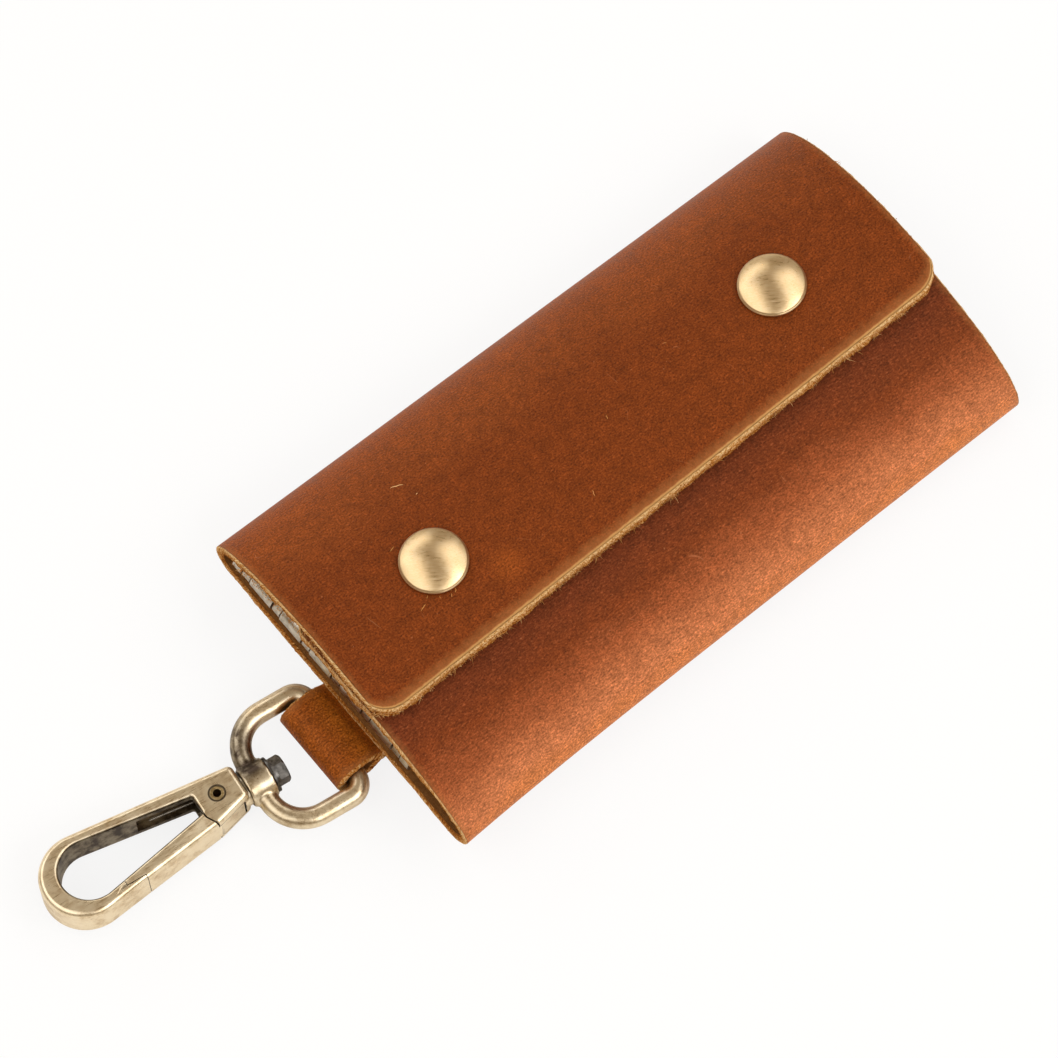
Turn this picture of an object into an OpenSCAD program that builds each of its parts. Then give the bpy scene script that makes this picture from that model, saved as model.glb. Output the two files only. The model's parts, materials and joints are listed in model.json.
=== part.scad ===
// Three-fold leather key case with six key hooks and a swivel clasp.
// It lies on its back panel, closed. X runs along the folds, with the open end
// and the clasp towards -X, and Y runs across the case, towards the back fold.
// The origin is under the middle of the whole object, on the surface it lies on.

/* [Case] */
// Length of the case along its folds
case_length = 130; // [118:1:142]
// Width across the closed case at its open end
open_width = 69; // [67:0.5:72]
// Width across the closed case at its far end
far_width = 67; // [65:0.5:70]
// Height of the closed case at its open end
open_height = 16.5; // [15.5:0.5:19]
// Height of the closed case at its far end
far_height = 21.5; // [20:0.5:25]
// Thickness of the case leather
leather_t = 2.1; // [1.9:0.1:2.3]
// Radius of the lower half of each fold, outside
fold_r = 4.3; // [4:0.1:4.8]

/* [Flap] */
// Reach of the flap from the back fold at the open end
flap_reach_open = 46.9; // [45:0.1:48]
// Reach of the flap from the back fold at the far end
flap_reach_far = 44.2; // [43:0.5:47]
// Radius of the flap's two free corners
flap_corner_r = 5.5; // [4:0.5:7]
// Gap between the flap's free edge and the front panel at the open end
edge_gap_open = 0.9; // [0.6:0.1:1.4]
// Gap between the flap's free edge and the front panel at the far end
edge_gap_far = 1.6; // [1:0.1:2]

/* [Front panel] */
// Reach of the front panel from the front fold, under the flap
front_reach = 49; // [47:0.5:51]
// Radius of the front panel's two free corners
front_corner_r = 5; // [4:0.5:6]

/* [Snaps] */
// Distance of each snap from its end of the case
snap_inset = 25.4; // [22:0.2:29]
// Distance of the snap by the open end from the flap's free edge
snap_edge_gap_near = 16.9; // [15.5:0.1:18]
// Distance of the other snap from the flap's free edge
snap_edge_gap_far = 18.2; // [16:0.1:19]
// Diameter of the snap caps
cap_d = 12.5; // [11.5:0.5:13.5]
// Height of the caps' dome
cap_rise = 1.9; // [1.5:0.1:2.4]
// Height of the rolled edge under each dome
cap_edge = 0.7; // [0.5:0.1:0.9]
// Diameter of the posts that pass through the leather
post_d = 3.4; // [3:0.1:3.6]
// Diameter of the sockets under the flap
socket_d = 10.4; // [9.8:0.2:11]
// Height of the sockets under the leather
socket_h = 1.5; // [1.4:0.05:1.6]
// Diameter of the sockets' mouth
socket_mouth_d = 5.6; // [5.4:0.1:6]
// Diameter of the studs' knob
knob_d = 3.1; // [2.9:0.1:3.2]
// Diameter of the studs' base and of their backing heads
stud_base_d = 9.6; // [9:0.2:10]
// Thickness of the studs' base
stud_base_t = 0.6; // [0.5:0.05:0.7]
// Thickness of the backing heads inside the case
backing_t = 0.9; // [0.7:0.1:1]
// Diameter of the wire of the snap springs
snap_wire_d = 0.5; // [0.4:0.05:0.55]

/* [Key hooks] */
// Room between the row of key hooks and the case's back side, at the open end
row_back_room = 4.6; // [4.4:0.1:6]
// Room between the row of key hooks and the case's front side, at the open end
row_front_room = 16.2; // [14:0.2:18]
// Gap between the eyes of neighbouring key hooks
key_gap = 2.2; // [1.8:0.1:2.6]
// Distance of the hook plate from the open end
plate_inset = 0.6; // [0.4:0.1:3]
// Thickness of the hook plate
plate_t = 0.9; // [0.8:0.05:1]
// Depth of the plate's flat part, behind the rod
plate_depth = 10.5; // [9:0.5:12]
// Diameter of the rod that the hooks turn on
rod_d = 3.2; // [3:0.1:3.3]
// Length of the plate beyond the first and last notch
plate_end = 2.2; // [1.8:0.1:2.4]
// Width of each notch in the rolled edge
notch_w = 2.6; // [2.4:0.1:2.8]
// Width of the barrel of a key hook
barrel_w = 2; // [1.8:0.1:2.2]
// Thickness of a key hook
key_hook_t = 1; // [0.8:0.1:1.1]
// Width of the strip round a key hook's eye
eye_rim = 1.3; // [1.1:0.05:1.4]
// Length of a key hook from the rod to its tip
key_hook_length = 32.5; // [28:0.5:34]
// Thickness of the sprung tongue over a key hook's eye
tongue_t = 0.45; // [0.35:0.05:0.5]

/* [Strap] */
// Width of the clasp strap
strap_w = 16.6; // [15.6:0.2:16.8]
// Thickness of the strap leather
strap_t = 1.8; // [1.6:0.05:1.9]
// Gap between the strap's edge and the nearest rivet of the hook plate
strap_gap = 0.2; // [0.1:0.1:2]
// Length of the strap's tail under the case
strap_tail = 25; // [24:1:30]
// Distance of the strap rivets from the open end
strap_rivet_x = 19; // [18:0.5:20]
// Distance between the two strap rivets
strap_rivet_gap = 8.8; // [8:0.2:9]

/* [Clasp] */
// Diameter of the ring's wire
wire_d = 3.9; // [3.6:0.1:4]
// Inner width of the ring
ring_w = 17.8; // [17.6:0.1:18.4]
// Inner length of the ring, from the middle of its bar
ring_length = 13.4; // [13:0.2:15]
// Diameter of the ring's collar
collar_d = 7.4; // [7:0.1:8]
// Length of the collar
collar_l = 4.9; // [4.7:0.1:5.4]
// Turn of the clasp towards the back, seen from above
clasp_yaw = 7.5; // [0:0.5:8]
// Rise of the clasp towards its nose
clasp_rise = 1.2; // [1.2:0.1:2]
// Roll of the hook about its swivel bolt
hook_roll = 6; // [0:0.5:6]
// Diameter of the swivel bolt
bolt_d = 3.2; // [2.8:0.1:3.2]
// Width across the flats of the bolt's hexagon head
bolt_flats = 4.7; // [4.4:0.1:5]
// Height of the bolt's head
bolt_head_h = 1.9; // [1.6:0.1:2.1]
// Thickness of each of the two washers
washer_t = 0.55; // [0.45:0.05:0.6]
// Thickness of the hook, across its flat faces
hook_t = 7.5; // [7:0.1:7.6]
// Distance from the ring's bar to the middle of the hook's nose
nose_x = 50.2; // [49:0.2:53]
// Outer radius of the hook's nose
nose_r = 8; // [7.8:0.1:8.2]
// Radius of the eye inside the nose
eye_r = 5.6; // [5.4:0.1:5.7]
// Distance from the ring's bar to the gate's pin
pin_x = 22.9; // [22.7:0.1:23.2]
// Outer radius of the hook's head
head_r = 4.8; // [4.7:0.05:5]
// Diameter of the hollow gate pin
pin_d = 2.6; // [2.4:0.1:2.8]
// Bore through the gate pin
pin_bore_d = 1.5; // [1.3:0.1:1.6]
// Thickness of each cheek beside the gate
cheek_t = 1.5; // [1.4:0.05:1.6]
// Diameter of the gate spring's wire
gate_wire_d = 0.5; // [0.4:0.05:0.55]

/* [Hidden] */
$fn = 48;

// Fits and small reliefs
fold_seam = 0.1;
seat_depth = 0.2;
hole_fit = 0.05;
turn_fit = 0.05;
swing_gap = 0.3;
snap_gap_air = 0.3;
overrun = 1;

// The key hooks fill the width that the two rooms leave, with equal gaps
hook_count = 6;
row_w = open_width - row_back_room - row_front_room;
hook_pitch = (row_w + key_gap) / hook_count;
row_y = open_width / 2 - row_back_room - row_w / 2;
eye_w = hook_pitch - key_gap;
shank_share = 0.68;
shank_w = eye_w * shank_share;

// Rivets near the ends of the hook plate. The strap lies beside the front one
plate_rivet_d = 4.2;
plate_rivet_share = 0.05;
plate_rivet_y = (hook_count - 1) * hook_pitch / 2 - hook_pitch * plate_rivet_share;
strap_y = plate_rivet_y - row_y - plate_rivet_d / 2 - strap_gap - strap_w / 2;

// Sheets are meshed in strips between stations along the case
fold_power_share = 1.5;
flap_steps = 16;
front_steps = 10;
lap_steps = 6;
arc_steps = 6;
corner_steps = 4;
middle_steps = 5;

// The strap's loop, in the case's own frame
strap_stack = 2 * strap_t;
bar_fit = 0.1;
slot_r = wire_d / 2 + bar_fit;
loop_r = slot_r + strap_t;
loop_z = -strap_t;
loop_near = loop_r - 0.08 * wire_d;
bar_skew_room = ring_w / 2 * sin(clasp_yaw);
bar_out = loop_near + bar_skew_room;
loop_far = bar_out + bar_skew_room + bar_fit;

// The case leans on the loop at its open end and on its far edge
lean_span = case_length + loop_near;
lean_dist = norm([lean_span, loop_z]);
case_tilt = asin(loop_r / lean_dist) + atan(strap_t / lean_span);
case_lift = case_length * sin(case_tilt);

// The clasp's axis meets the strap's middle line half-way along the loop
clasp_y = -strap_y - (loop_far - bar_out + loop_r) / 2 * tan(clasp_yaw);

// Hook plan, with X along the swivel axis and Y towards the front
nose_y = -0.15 * head_r / 4.8;
eye_x = nose_x - (nose_r - eye_r) * 0.58;
eye_y = nose_y * 2;
eye_y_front = head_r * 0.17;
eye_y_spine = -head_r * 0.45;
eye_back_x = pin_x + head_r * 0.94;
eye_back_r = head_r * 0.1;
pin_y = -0.125 * head_r;
hook_back_x = ring_length + collar_l - 0.08 * collar_l;
gate_split_x = nose_x - nose_r * 1.15;
tongue_end_x = gate_split_x + nose_r * 0.47;
leg_mid_y = nose_y + (eye_r + nose_r) / 2 - nose_r * 0.1;
barrel_r = head_r * 0.55;
tang_back = head_r * 0.68;
slot_t = hook_t - 2 * cheek_t;

// The whole object's reach along X, which centres it on the origin
far_x = case_length * cos(case_tilt) + far_height * sin(case_tilt);
bar_x = -bar_out * cos(case_tilt) + loop_z * sin(case_tilt);
nose_reach = nose_x * cos(clasp_yaw) * cos(clasp_rise) + nose_y * sin(clasp_yaw) + nose_r;
near_x = bar_x - nose_reach - hook_t / 2 * sin(clasp_rise);
case_x = -(near_x + far_x) / 2;

// Places in the case's own frame: X from the open end, Z from the underside
module case_pose() {
    translate([case_x, 0, case_lift])
        rotate([0, case_tilt, 0])
            children();
}

// Clasp frame: the origin is the middle of the ring's bar, X points to the nose
module clasp_pose() {
    case_pose()
        translate([-bar_out, clasp_y, loop_z])
            rotate([0, -case_tilt, 0])
                rotate([0, 0, 180 - clasp_yaw])
                    rotate([0, -clasp_rise, 0])
                        children();
}

module hook_pose() {
    clasp_pose()
        rotate([hook_roll, 0, 0])
            children();
}

function mix(a, b, share) = a + (b - a) * share;
function unit(v) = v / norm(v);
function smooth(share) = let (s = min(max(share, 0), 1)) s * s * (3 - 2 * s);

// Half width of the case and height of its crest over the fold line
function half_w(x) = mix(open_width, far_width, x / case_length) / 2;
function crest(x) = mix(open_height, far_height, x / case_length) - fold_r;

// How far a rounded corner draws an edge back near either end of the case
function corner_draw(x, r) =
    let (d = min(x, case_length - x))
    d >= r ? 0 : r - sqrt(max(0, r * r - (r - d) * (r - d)));

// The closed top is half an ellipse over the fold line. A place on it is an
// angle from the back fold, and a depth under the outer face.
function flap_at(x, a, depth) =
    let (w = half_w(x), h = crest(x), n = unit([h * cos(a), w * sin(a)]))
    [x, w * cos(a) - depth * n[0], fold_r + h * sin(a) - depth * n[1]];
function flap_edge_y(x) =
    half_w(x) - mix(flap_reach_open, flap_reach_far, x / case_length);
function angle_at(x, y) = acos(y / half_w(x));
seam_a = asin(fold_seam / 2 / (open_height - fold_r));

// Stations along the case, closer together at the rounded corners
function stations(r) = concat(
    [for (i = [0:corner_steps]) r * (1 - cos(90 * i / corner_steps))],
    [for (i = [1:middle_steps - 1]) mix(r, case_length - r, i / middle_steps)],
    [for (i = [corner_steps:-1:0]) case_length - r * (1 - cos(90 * i / corner_steps))]);

// A sheet of leather between two grids of points with the same layout
module sheet(outer, inner) {
    rows = len(outer);
    cols = len(outer[0]);
    size = rows * cols;
    points = concat([for (r = outer) each r], [for (r = inner) each r]);
    function at(i, j) = i * cols + j;
    skin = [for (i = [0:rows - 2]) for (j = [0:cols - 2]) each [
        [at(i, j), at(i, j + 1), at(i + 1, j + 1)],
        [at(i, j), at(i + 1, j + 1), at(i + 1, j)]]];
    lining = [for (f = skin) [f[0] + size, f[2] + size, f[1] + size]];
    loop = concat(
        [for (j = [0:cols - 1]) at(0, j)],
        [for (i = [1:rows - 1]) at(i, cols - 1)],
        [for (j = [cols - 2:-1:0]) at(rows - 1, j)],
        [for (i = [rows - 2:-1:1]) at(i, 0)]);
    count = len(loop);
    edge = [for (k = [0:count - 1]) let (a = loop[k], b = loop[(k + 1) % count]) each [
        [a, a + size, b + size], [a, b + size, b]]];
    polyhedron(points, concat(skin, lining, edge), convexity = 6);
}

// Rows of points of the flap, from the back fold to the free edge
function flap_row(x, depth) =
    let (y = flap_edge_y(x) + corner_draw(x, flap_corner_r), last = angle_at(x, y))
    [for (j = [0:flap_steps])
        flap_at(x, mix(seam_a, last, pow(j / flap_steps, fold_power_share)), depth)];

// The gap under the flap grows from its free edge to the snaps
snap_gap = socket_h + stud_base_t + snap_gap_air;
snap_places = [snap_inset, case_length - snap_inset];
function snap_edge_gap(x) = mix(
    snap_edge_gap_near, snap_edge_gap_far,
    (x - snap_places[0]) / (snap_places[1] - snap_places[0]));
function snap_y(x) = flap_edge_y(x) + snap_edge_gap(x);
function lap_gap(x, y) = mix(
    mix(edge_gap_open, edge_gap_far, x / case_length), snap_gap,
    smooth((y - flap_edge_y(x)) / (snap_edge_gap(x) - socket_d / 2)));
function lap_at(x, y, depth) =
    flap_at(x, angle_at(x, y), leather_t + lap_gap(x, y) + depth);

// Rows of points of the front panel: an ellipse up from the front fold, and
// then a curve that follows the underside of the flap
function front_row(x, depth) =
    let (
        w = half_w(x),
        meet = lap_at(x, flap_edge_y(x), 0),
        rise = (meet[2] - fold_r) / sqrt(1 - pow(meet[1] / w, 2)),
        last = acos(-meet[1] / w),
        free = -w + front_reach - corner_draw(x, front_corner_r))
    concat(
        [for (j = [0:front_steps - 1])
            let (
                a = mix(seam_a, last, pow(j / front_steps, fold_power_share)),
                n = unit([-rise * cos(a), w * sin(a)]))
            [x, -w * cos(a) - depth * n[0], fold_r + rise * sin(a) - depth * n[1]]],
        [for (j = [0:lap_steps])
            lap_at(x, mix(flap_edge_y(x), free, j / lap_steps), depth)]);

// Rows of points of the back panel, with the lower half of both folds
function back_row(x, depth) =
    let (
        w = half_w(x) - fold_r,
        r = fold_r - depth,
        first = -asin(fold_seam / 2 / fold_r))
    concat(
        [for (j = [0:arc_steps]) let (a = mix(first, -90, j / arc_steps))
            [x, w + r * cos(a), fold_r + r * sin(a)]],
        [for (j = [arc_steps:-1:0]) let (a = mix(first, -90, j / arc_steps))
            [x, -w - r * cos(a), fold_r + r * sin(a)]]);

// Snap frames: the origin is on the flap's outer face, Z is its outward normal
module snap_pose(k) {
    x = snap_places[k];
    a = angle_at(x, snap_y(x));
    lean = unit([crest(x) * cos(a), half_w(x) * sin(a)]);
    slope = (far_height - open_height) / case_length * sin(a);
    case_pose()
        translate(flap_at(x, a, 0))
            rotate([-asin(lean[0]), -atan(slope), 0])
                children();
}

// Leather pieces
leather_colour = "sienna";

module flap() {
    xs = stations(flap_corner_r);
    color(leather_colour)
        difference() {
            case_pose()
                sheet([for (x = xs) flap_row(x, 0)], [for (x = xs) flap_row(x, leather_t)]);
            for (k = [0:1])
                snap_pose(k) {
                    translate([0, 0, -leather_t - overrun])
                        cylinder(d = post_d + 2 * hole_fit, h = leather_t + 2 * overrun);
                    translate([0, 0, -seat_depth])
                        cylinder(d = cap_d + 2 * hole_fit, h = overrun);
                    translate([0, 0, -leather_t - overrun])
                        cylinder(d = socket_d + 2 * hole_fit, h = overrun + seat_depth);
                }
        }
}

module front_panel() {
    xs = stations(front_corner_r);
    top = -leather_t - snap_gap;
    color(leather_colour)
        difference() {
            case_pose()
                sheet([for (x = xs) front_row(x, leather_t)], [for (x = xs) front_row(x, 0)]);
            for (k = [0:1])
                snap_pose(k) {
                    translate([0, 0, top - leather_t - overrun])
                        cylinder(d = post_d + 2 * hole_fit, h = leather_t + 2 * overrun);
                    translate([0, 0, top - seat_depth])
                        cylinder(d = stud_base_d + 2 * hole_fit, h = overrun);
                    translate([0, 0, top - leather_t - overrun])
                        cylinder(d = stud_base_d + 2 * hole_fit, h = overrun + seat_depth);
                }
        }
}

rivet_hole_d = 2.4;
plate_rivet_x = plate_inset + plate_depth * 0.78;
module back_panel() {
    xs = [for (i = [0:middle_steps]) case_length * i / middle_steps];
    color(leather_colour)
        difference() {
            case_pose()
                sheet([for (x = xs) back_row(x, leather_t)], [for (x = xs) back_row(x, 0)]);
            at_strap_rivets()
                translate([0, 0, -overrun])
                    cylinder(d = rivet_hole_d + 2 * hole_fit, h = leather_t + 2 * overrun);
            at_plate_rivets()
                translate([0, 0, -overrun])
                    cylinder(d = rivet_hole_d + 2 * hole_fit, h = leather_t + 2 * overrun);
        }
}

module at_strap_rivets() {
    case_pose()
        for (side = [-1, 1])
            translate([strap_rivet_x, -strap_y + side * strap_rivet_gap / 2, 0])
                children();
}

module at_plate_rivets() {
    case_pose()
        for (side = [-1, 1])
            translate([plate_rivet_x, row_y + side * plate_rivet_y, 0])
                children();
}

// Straight flanks meet their round ends just inside the circle
meet_share = 0.995;

// The strap is one length of leather, folded over the ring's bar. Seen from the
// side it is a slot with round ends, and two plies that close behind the bar.
ply_split = [-loop_near * 0.27, loop_z];
module slot_outline(r, grow) {
    near = [-loop_near, loop_z];
    far = [-loop_far, loop_z];
    d = norm(near - ply_split);
    b = asin(slot_r / d);
    up = [cos(90 - b), sin(90 - b)];
    down = [up[0], -up[1]];
    translate(near)
        circle(r = r);
    translate(far)
        circle(r = r);
    translate([-loop_far, loop_z - r])
        square([loop_far - loop_near, 2 * r]);
    meet = r * meet_share;
    polygon([ply_split + grow * up, near + meet * up, near + meet * down, ply_split + grow * down]);
}

module strap_outline() {
    difference() {
        union() {
            slot_outline(loop_r, strap_t);
            translate([ply_split[0], -strap_stack])
                square([strap_tail - ply_split[0], strap_stack]);
        }
        slot_outline(slot_r, 0);
    }
}

module strap() {
    color("chocolate")
        difference() {
            case_pose()
                translate([0, strap_w / 2 - strap_y, 0])
                    rotate([90, 0, 0])
                        linear_extrude(strap_w)
                            strap_outline();
            at_strap_rivets()
                translate([0, 0, -strap_stack - overrun])
                    cylinder(d = rivet_hole_d + 2 * hole_fit, h = strap_stack + 2 * overrun);
            at_strap_rivets()
                translate([0, 0, -strap_stack - overrun])
                    cylinder(d = rivet_head_d + 2 * hole_fit, h = overrun + rivet_sink);
        }
}

// A rivet with two flat heads and a stem between them
rivet_head_d = 6.4;
rivet_head_t = 0.8;
rivet_sink = 0.5;
module rivet(low, high, low_d, high_d) {
    translate([0, 0, low])
        cylinder(d = rivet_hole_d, h = high - low);
    translate([0, 0, low - rivet_head_t])
        cylinder(d = low_d, h = rivet_head_t);
    translate([0, 0, high])
        cylinder(d = high_d, h = rivet_head_t);
}

module strap_rivets() {
    color("darkgoldenrod")
        at_strap_rivets()
            rivet(-strap_stack + rivet_sink, leather_t, rivet_head_d, rivet_head_d);
}

// Hook plate: a stamped strip whose edge is rolled round the rod and notched
roll_r = rod_d / 2 + hole_fit + plate_t;
rod_x = plate_inset + roll_r;
rod_z = leather_t + roll_r;
plate_l = (hook_count - 1) * hook_pitch + notch_w + 2 * plate_end;
plate_rivet_t = 0.6;
function hook_y(k) = row_y + ((hook_count - 1) / 2 - k) * hook_pitch;

module hook_plate() {
    color("silver")
        difference() {
            case_pose()
                translate([0, row_y + plate_l / 2, 0])
                    rotate([90, 0, 0])
                        linear_extrude(plate_l)
                            difference() {
                                union() {
                                    translate([rod_x, rod_z])
                                        circle(r = roll_r);
                                    translate([rod_x, leather_t])
                                        square([plate_depth, plate_t]);
                                }
                                translate([rod_x, rod_z])
                                    circle(d = rod_d + 2 * hole_fit);
                            }
            case_pose()
                for (k = [0:hook_count - 1])
                    translate([plate_inset - overrun, hook_y(k) - notch_w / 2, leather_t - overrun])
                        cube([2 * roll_r + overrun + swing_gap, notch_w, 2 * roll_r + 2 * overrun]);
            at_plate_rivets()
                cylinder(d = rivet_hole_d + 2 * hole_fit, h = leather_t + plate_t + overrun);
        }
}

module plate_rivets() {
    color("silver")
        at_plate_rivets() {
            cylinder(d = rivet_hole_d, h = leather_t + plate_t);
            translate([0, 0, leather_t + plate_t])
                cylinder(d = plate_rivet_d, h = plate_rivet_t);
            translate([0, 0, -plate_rivet_t])
                cylinder(d = plate_rivet_d, h = plate_rivet_t);
        }
}

module hook_rod() {
    color("gainsboro")
        case_pose()
            translate([rod_x, row_y + plate_l / 2, rod_z])
                rotate([90, 0, 0])
                    cylinder(d = rod_d, h = plate_l);
}

// A key hook: a barrel on the rod, a flat shank, an eye, and a sprung tongue
// over the eye whose tip snaps onto the eye's far end
barrel_d = rod_d + 2 * turn_fit + 1.5 * key_hook_t;
shank_start = roll_r + swing_gap * 2;
shank_end = key_hook_length * 0.5;
tongue_w = shank_w * 0.48;
tongue_lift = key_hook_t * 0.35;
module key_hook(k) {
    eye_end = key_hook_length - eye_w / 2;
    inner_w = eye_w - 2 * eye_rim;
    color("lightgray")
        case_pose()
            translate([rod_x, hook_y(k), rod_z])
                difference() {
                    union() {
                        rotate([90, 0, 0])
                            cylinder(d = barrel_d, h = barrel_w, center = true);
                        translate([0, -barrel_w / 2, -key_hook_t / 2])
                            cube([shank_start + overrun, barrel_w, key_hook_t]);
                        translate([0, 0, -key_hook_t / 2])
                            linear_extrude(key_hook_t)
                                key_hook_plan(eye_end, inner_w);
                        translate([shank_end * 0.6, -tongue_w / 2, 0])
                            cube([2 * tongue_t, tongue_w, key_hook_t / 2 + tongue_lift + tongue_t]);
                        translate([shank_end * 0.6, -tongue_w / 2, key_hook_t / 2 + tongue_lift])
                            cube([eye_end + eye_w / 2 - shank_end * 0.6, tongue_w, tongue_t]);
                    }
                    rotate([90, 0, 0])
                        cylinder(d = rod_d + 2 * turn_fit, h = barrel_w + 2 * overrun, center = true);
                }
}

module key_hook_plan(eye_end, inner_w) {
    difference() {
        union() {
            polygon([
                [shank_start, -barrel_w / 2], [shank_start + shank_w / 2, -shank_w / 2],
                [shank_end, -shank_w / 2], [shank_end + eye_rim, -eye_w / 2],
                [eye_end, -eye_w / 2], [eye_end, eye_w / 2],
                [shank_end + eye_rim, eye_w / 2], [shank_end, shank_w / 2],
                [shank_start + shank_w / 2, shank_w / 2], [shank_start, barrel_w / 2]]);
            translate([eye_end, 0])
                circle(d = eye_w);
        }
        translate([shank_end + 2 * eye_rim + inner_w / 2, 0])
            circle(d = inner_w);
        translate([eye_end, 0])
            circle(d = inner_w);
        translate([shank_end + 2 * eye_rim + inner_w / 2, -inner_w / 2])
            square([eye_end - shank_end - 2 * eye_rim - inner_w / 2, inner_w]);
    }
}

module key_hook_1() { key_hook(0); }
module key_hook_2() { key_hook(1); }
module key_hook_3() { key_hook(2); }
module key_hook_4() { key_hook(3); }
module key_hook_5() { key_hook(4); }
module key_hook_6() { key_hook(5); }

// Snap cap: a dome with a rolled edge, on a post that is flared over the socket
flange_t = 0.3;
flare_t = 0.3;
flare_z = -leather_t + seat_depth - flange_t - flare_t;
module snap_cap(k) {
    dome_r = (cap_d * cap_d / 4 + cap_rise * cap_rise) / (2 * cap_rise);
    color("darkkhaki")
        snap_pose(k) {
            translate([0, 0, -seat_depth])
                cylinder(d = cap_d, h = cap_edge + seat_depth);
            intersection() {
                translate([0, 0, cap_edge + cap_rise - dome_r])
                    sphere(r = dome_r);
                translate([0, 0, cap_edge])
                    cylinder(d = cap_d, h = cap_rise + overrun);
            }
            translate([0, 0, flare_z])
                cylinder(d = post_d, h = -seat_depth - flare_z);
            translate([0, 0, flare_z])
                cylinder(d = socket_mouth_d - 2 * flare_t, h = flare_t);
        }
}

// Socket: a flange under the leather and a wall round the mouth, with a groove
// for the spring
groove_d = (socket_d + socket_mouth_d) / 2;
groove_h = snap_wire_d + 2 * hole_fit;
lip_share = 0.8;
groove_z = -leather_t - socket_h + snap_wire_d * lip_share;
module snap_socket(k) {
    top_z = -leather_t + seat_depth;
    low_z = -leather_t - socket_h;
    chamfer = flange_t;
    color("darkkhaki")
        snap_pose(k)
            rotate_extrude()
                polygon([
                    [post_d / 2 + hole_fit, top_z], [socket_d / 2, top_z],
                    [socket_d / 2, low_z + chamfer], [socket_d / 2 - chamfer, low_z],
                    [socket_mouth_d / 2, low_z], [socket_mouth_d / 2, groove_z - groove_h / 2],
                    [groove_d / 2, groove_z - groove_h / 2], [groove_d / 2, groove_z + groove_h / 2],
                    [socket_mouth_d / 2, groove_z + groove_h / 2], [socket_mouth_d / 2, top_z - flange_t],
                    [post_d / 2 + hole_fit, top_z - flange_t]]);
}

// Spring: one wire in the groove, with a straight leg on each side of the stud
leg_x = knob_d / 2 + hole_fit + snap_wire_d / 2;
module snap_spring(k) {
    arc_r = groove_d / 2 - snap_wire_d / 2 - hole_fit;
    leg_half = sqrt(arc_r * arc_r - leg_x * leg_x);
    sweep = 2 * atan(leg_x / leg_half);
    color("dimgray")
        snap_pose(k)
            translate([0, 0, groove_z]) {
                for (side = [-1, 1])
                    translate([side * leg_x, 0, 0])
                        rotate([90, 0, 0])
                            cylinder(d = snap_wire_d, h = 2 * leg_half, center = true);
                rotate([0, 0, 90 - sweep / 2])
                    rotate_extrude(angle = sweep)
                        translate([arc_r, 0])
                            circle(d = snap_wire_d);
            }
}

// Stud: a thin base on the front panel and a knob with a waist
stud_bore_share = 0.55;
stud_waist_share = 0.84;
module snap_stud(k) {
    base_z = -leather_t - snap_gap;
    low_z = base_z - seat_depth;
    top_z = flare_z - hole_fit * 2;
    face_z = base_z + stud_base_t;
    knob_r = knob_d / 2;
    waist_r = knob_r * stud_waist_share;
    bore_r = knob_r * stud_bore_share;
    cover_z = top_z - flange_t / 2;
    bulge_z = top_z - snap_wire_d * 0.9;
    color("darkkhaki")
        snap_pose(k)
            rotate_extrude()
                polygon([
                    [bore_r, low_z], [stud_base_d / 2, low_z],
                    [stud_base_d / 2, face_z - stud_base_t / 2], [stud_base_d * 0.42, face_z],
                    [waist_r, face_z], [waist_r, bulge_z],
                    [knob_r, mix(bulge_z, top_z, 0.3)], [knob_r, mix(bulge_z, top_z, 0.6)],
                    [knob_r * 0.7, top_z], [0, top_z], [0, cover_z], [bore_r, cover_z]]);
}

// Backing: a flat head inside the case and a stem up into the stud
module stud_backing(k) {
    base_z = -leather_t - snap_gap;
    low_z = base_z - leather_t + seat_depth;
    stem_r = knob_d / 2 * stud_bore_share - hole_fit;
    color("darkkhaki")
        snap_pose(k) {
            translate([0, 0, low_z - backing_t])
                cylinder(d = stud_base_d, h = backing_t);
            translate([0, 0, low_z])
                cylinder(d = post_d, h = base_z - seat_depth - low_z);
            translate([0, 0, base_z - seat_depth])
                cylinder(r = stem_r, h = stud_base_t + seat_depth + hole_fit);
        }
}

module snap_cap_1() { snap_cap(0); }
module snap_cap_2() { snap_cap(1); }
module snap_socket_1() { snap_socket(0); }
module snap_socket_2() { snap_socket(1); }
module snap_spring_1() { snap_spring(0); }
module snap_spring_2() { snap_spring(1); }
module snap_stud_1() { snap_stud(0); }
module snap_stud_2() { snap_stud(1); }
module stud_backing_1() { stud_backing(0); }
module stud_backing_2() { stud_backing(1); }

// Clasp ring: round wire bent to a D, with a collar for the swivel bolt
brass = "tan";
ring_corner_r = wire_d * 0.68;
ring_half = ring_w / 2 + wire_d / 2;
ring_end_x = ring_length + wire_d / 2;
shoulder_r = ring_half * 0.65;
module bend(r) {
    rotate_extrude(angle = 90)
        translate([r, 0])
            circle(d = wire_d);
}

// The wire swells towards the collar
shoulder_l = collar_d * 0.75;

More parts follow.
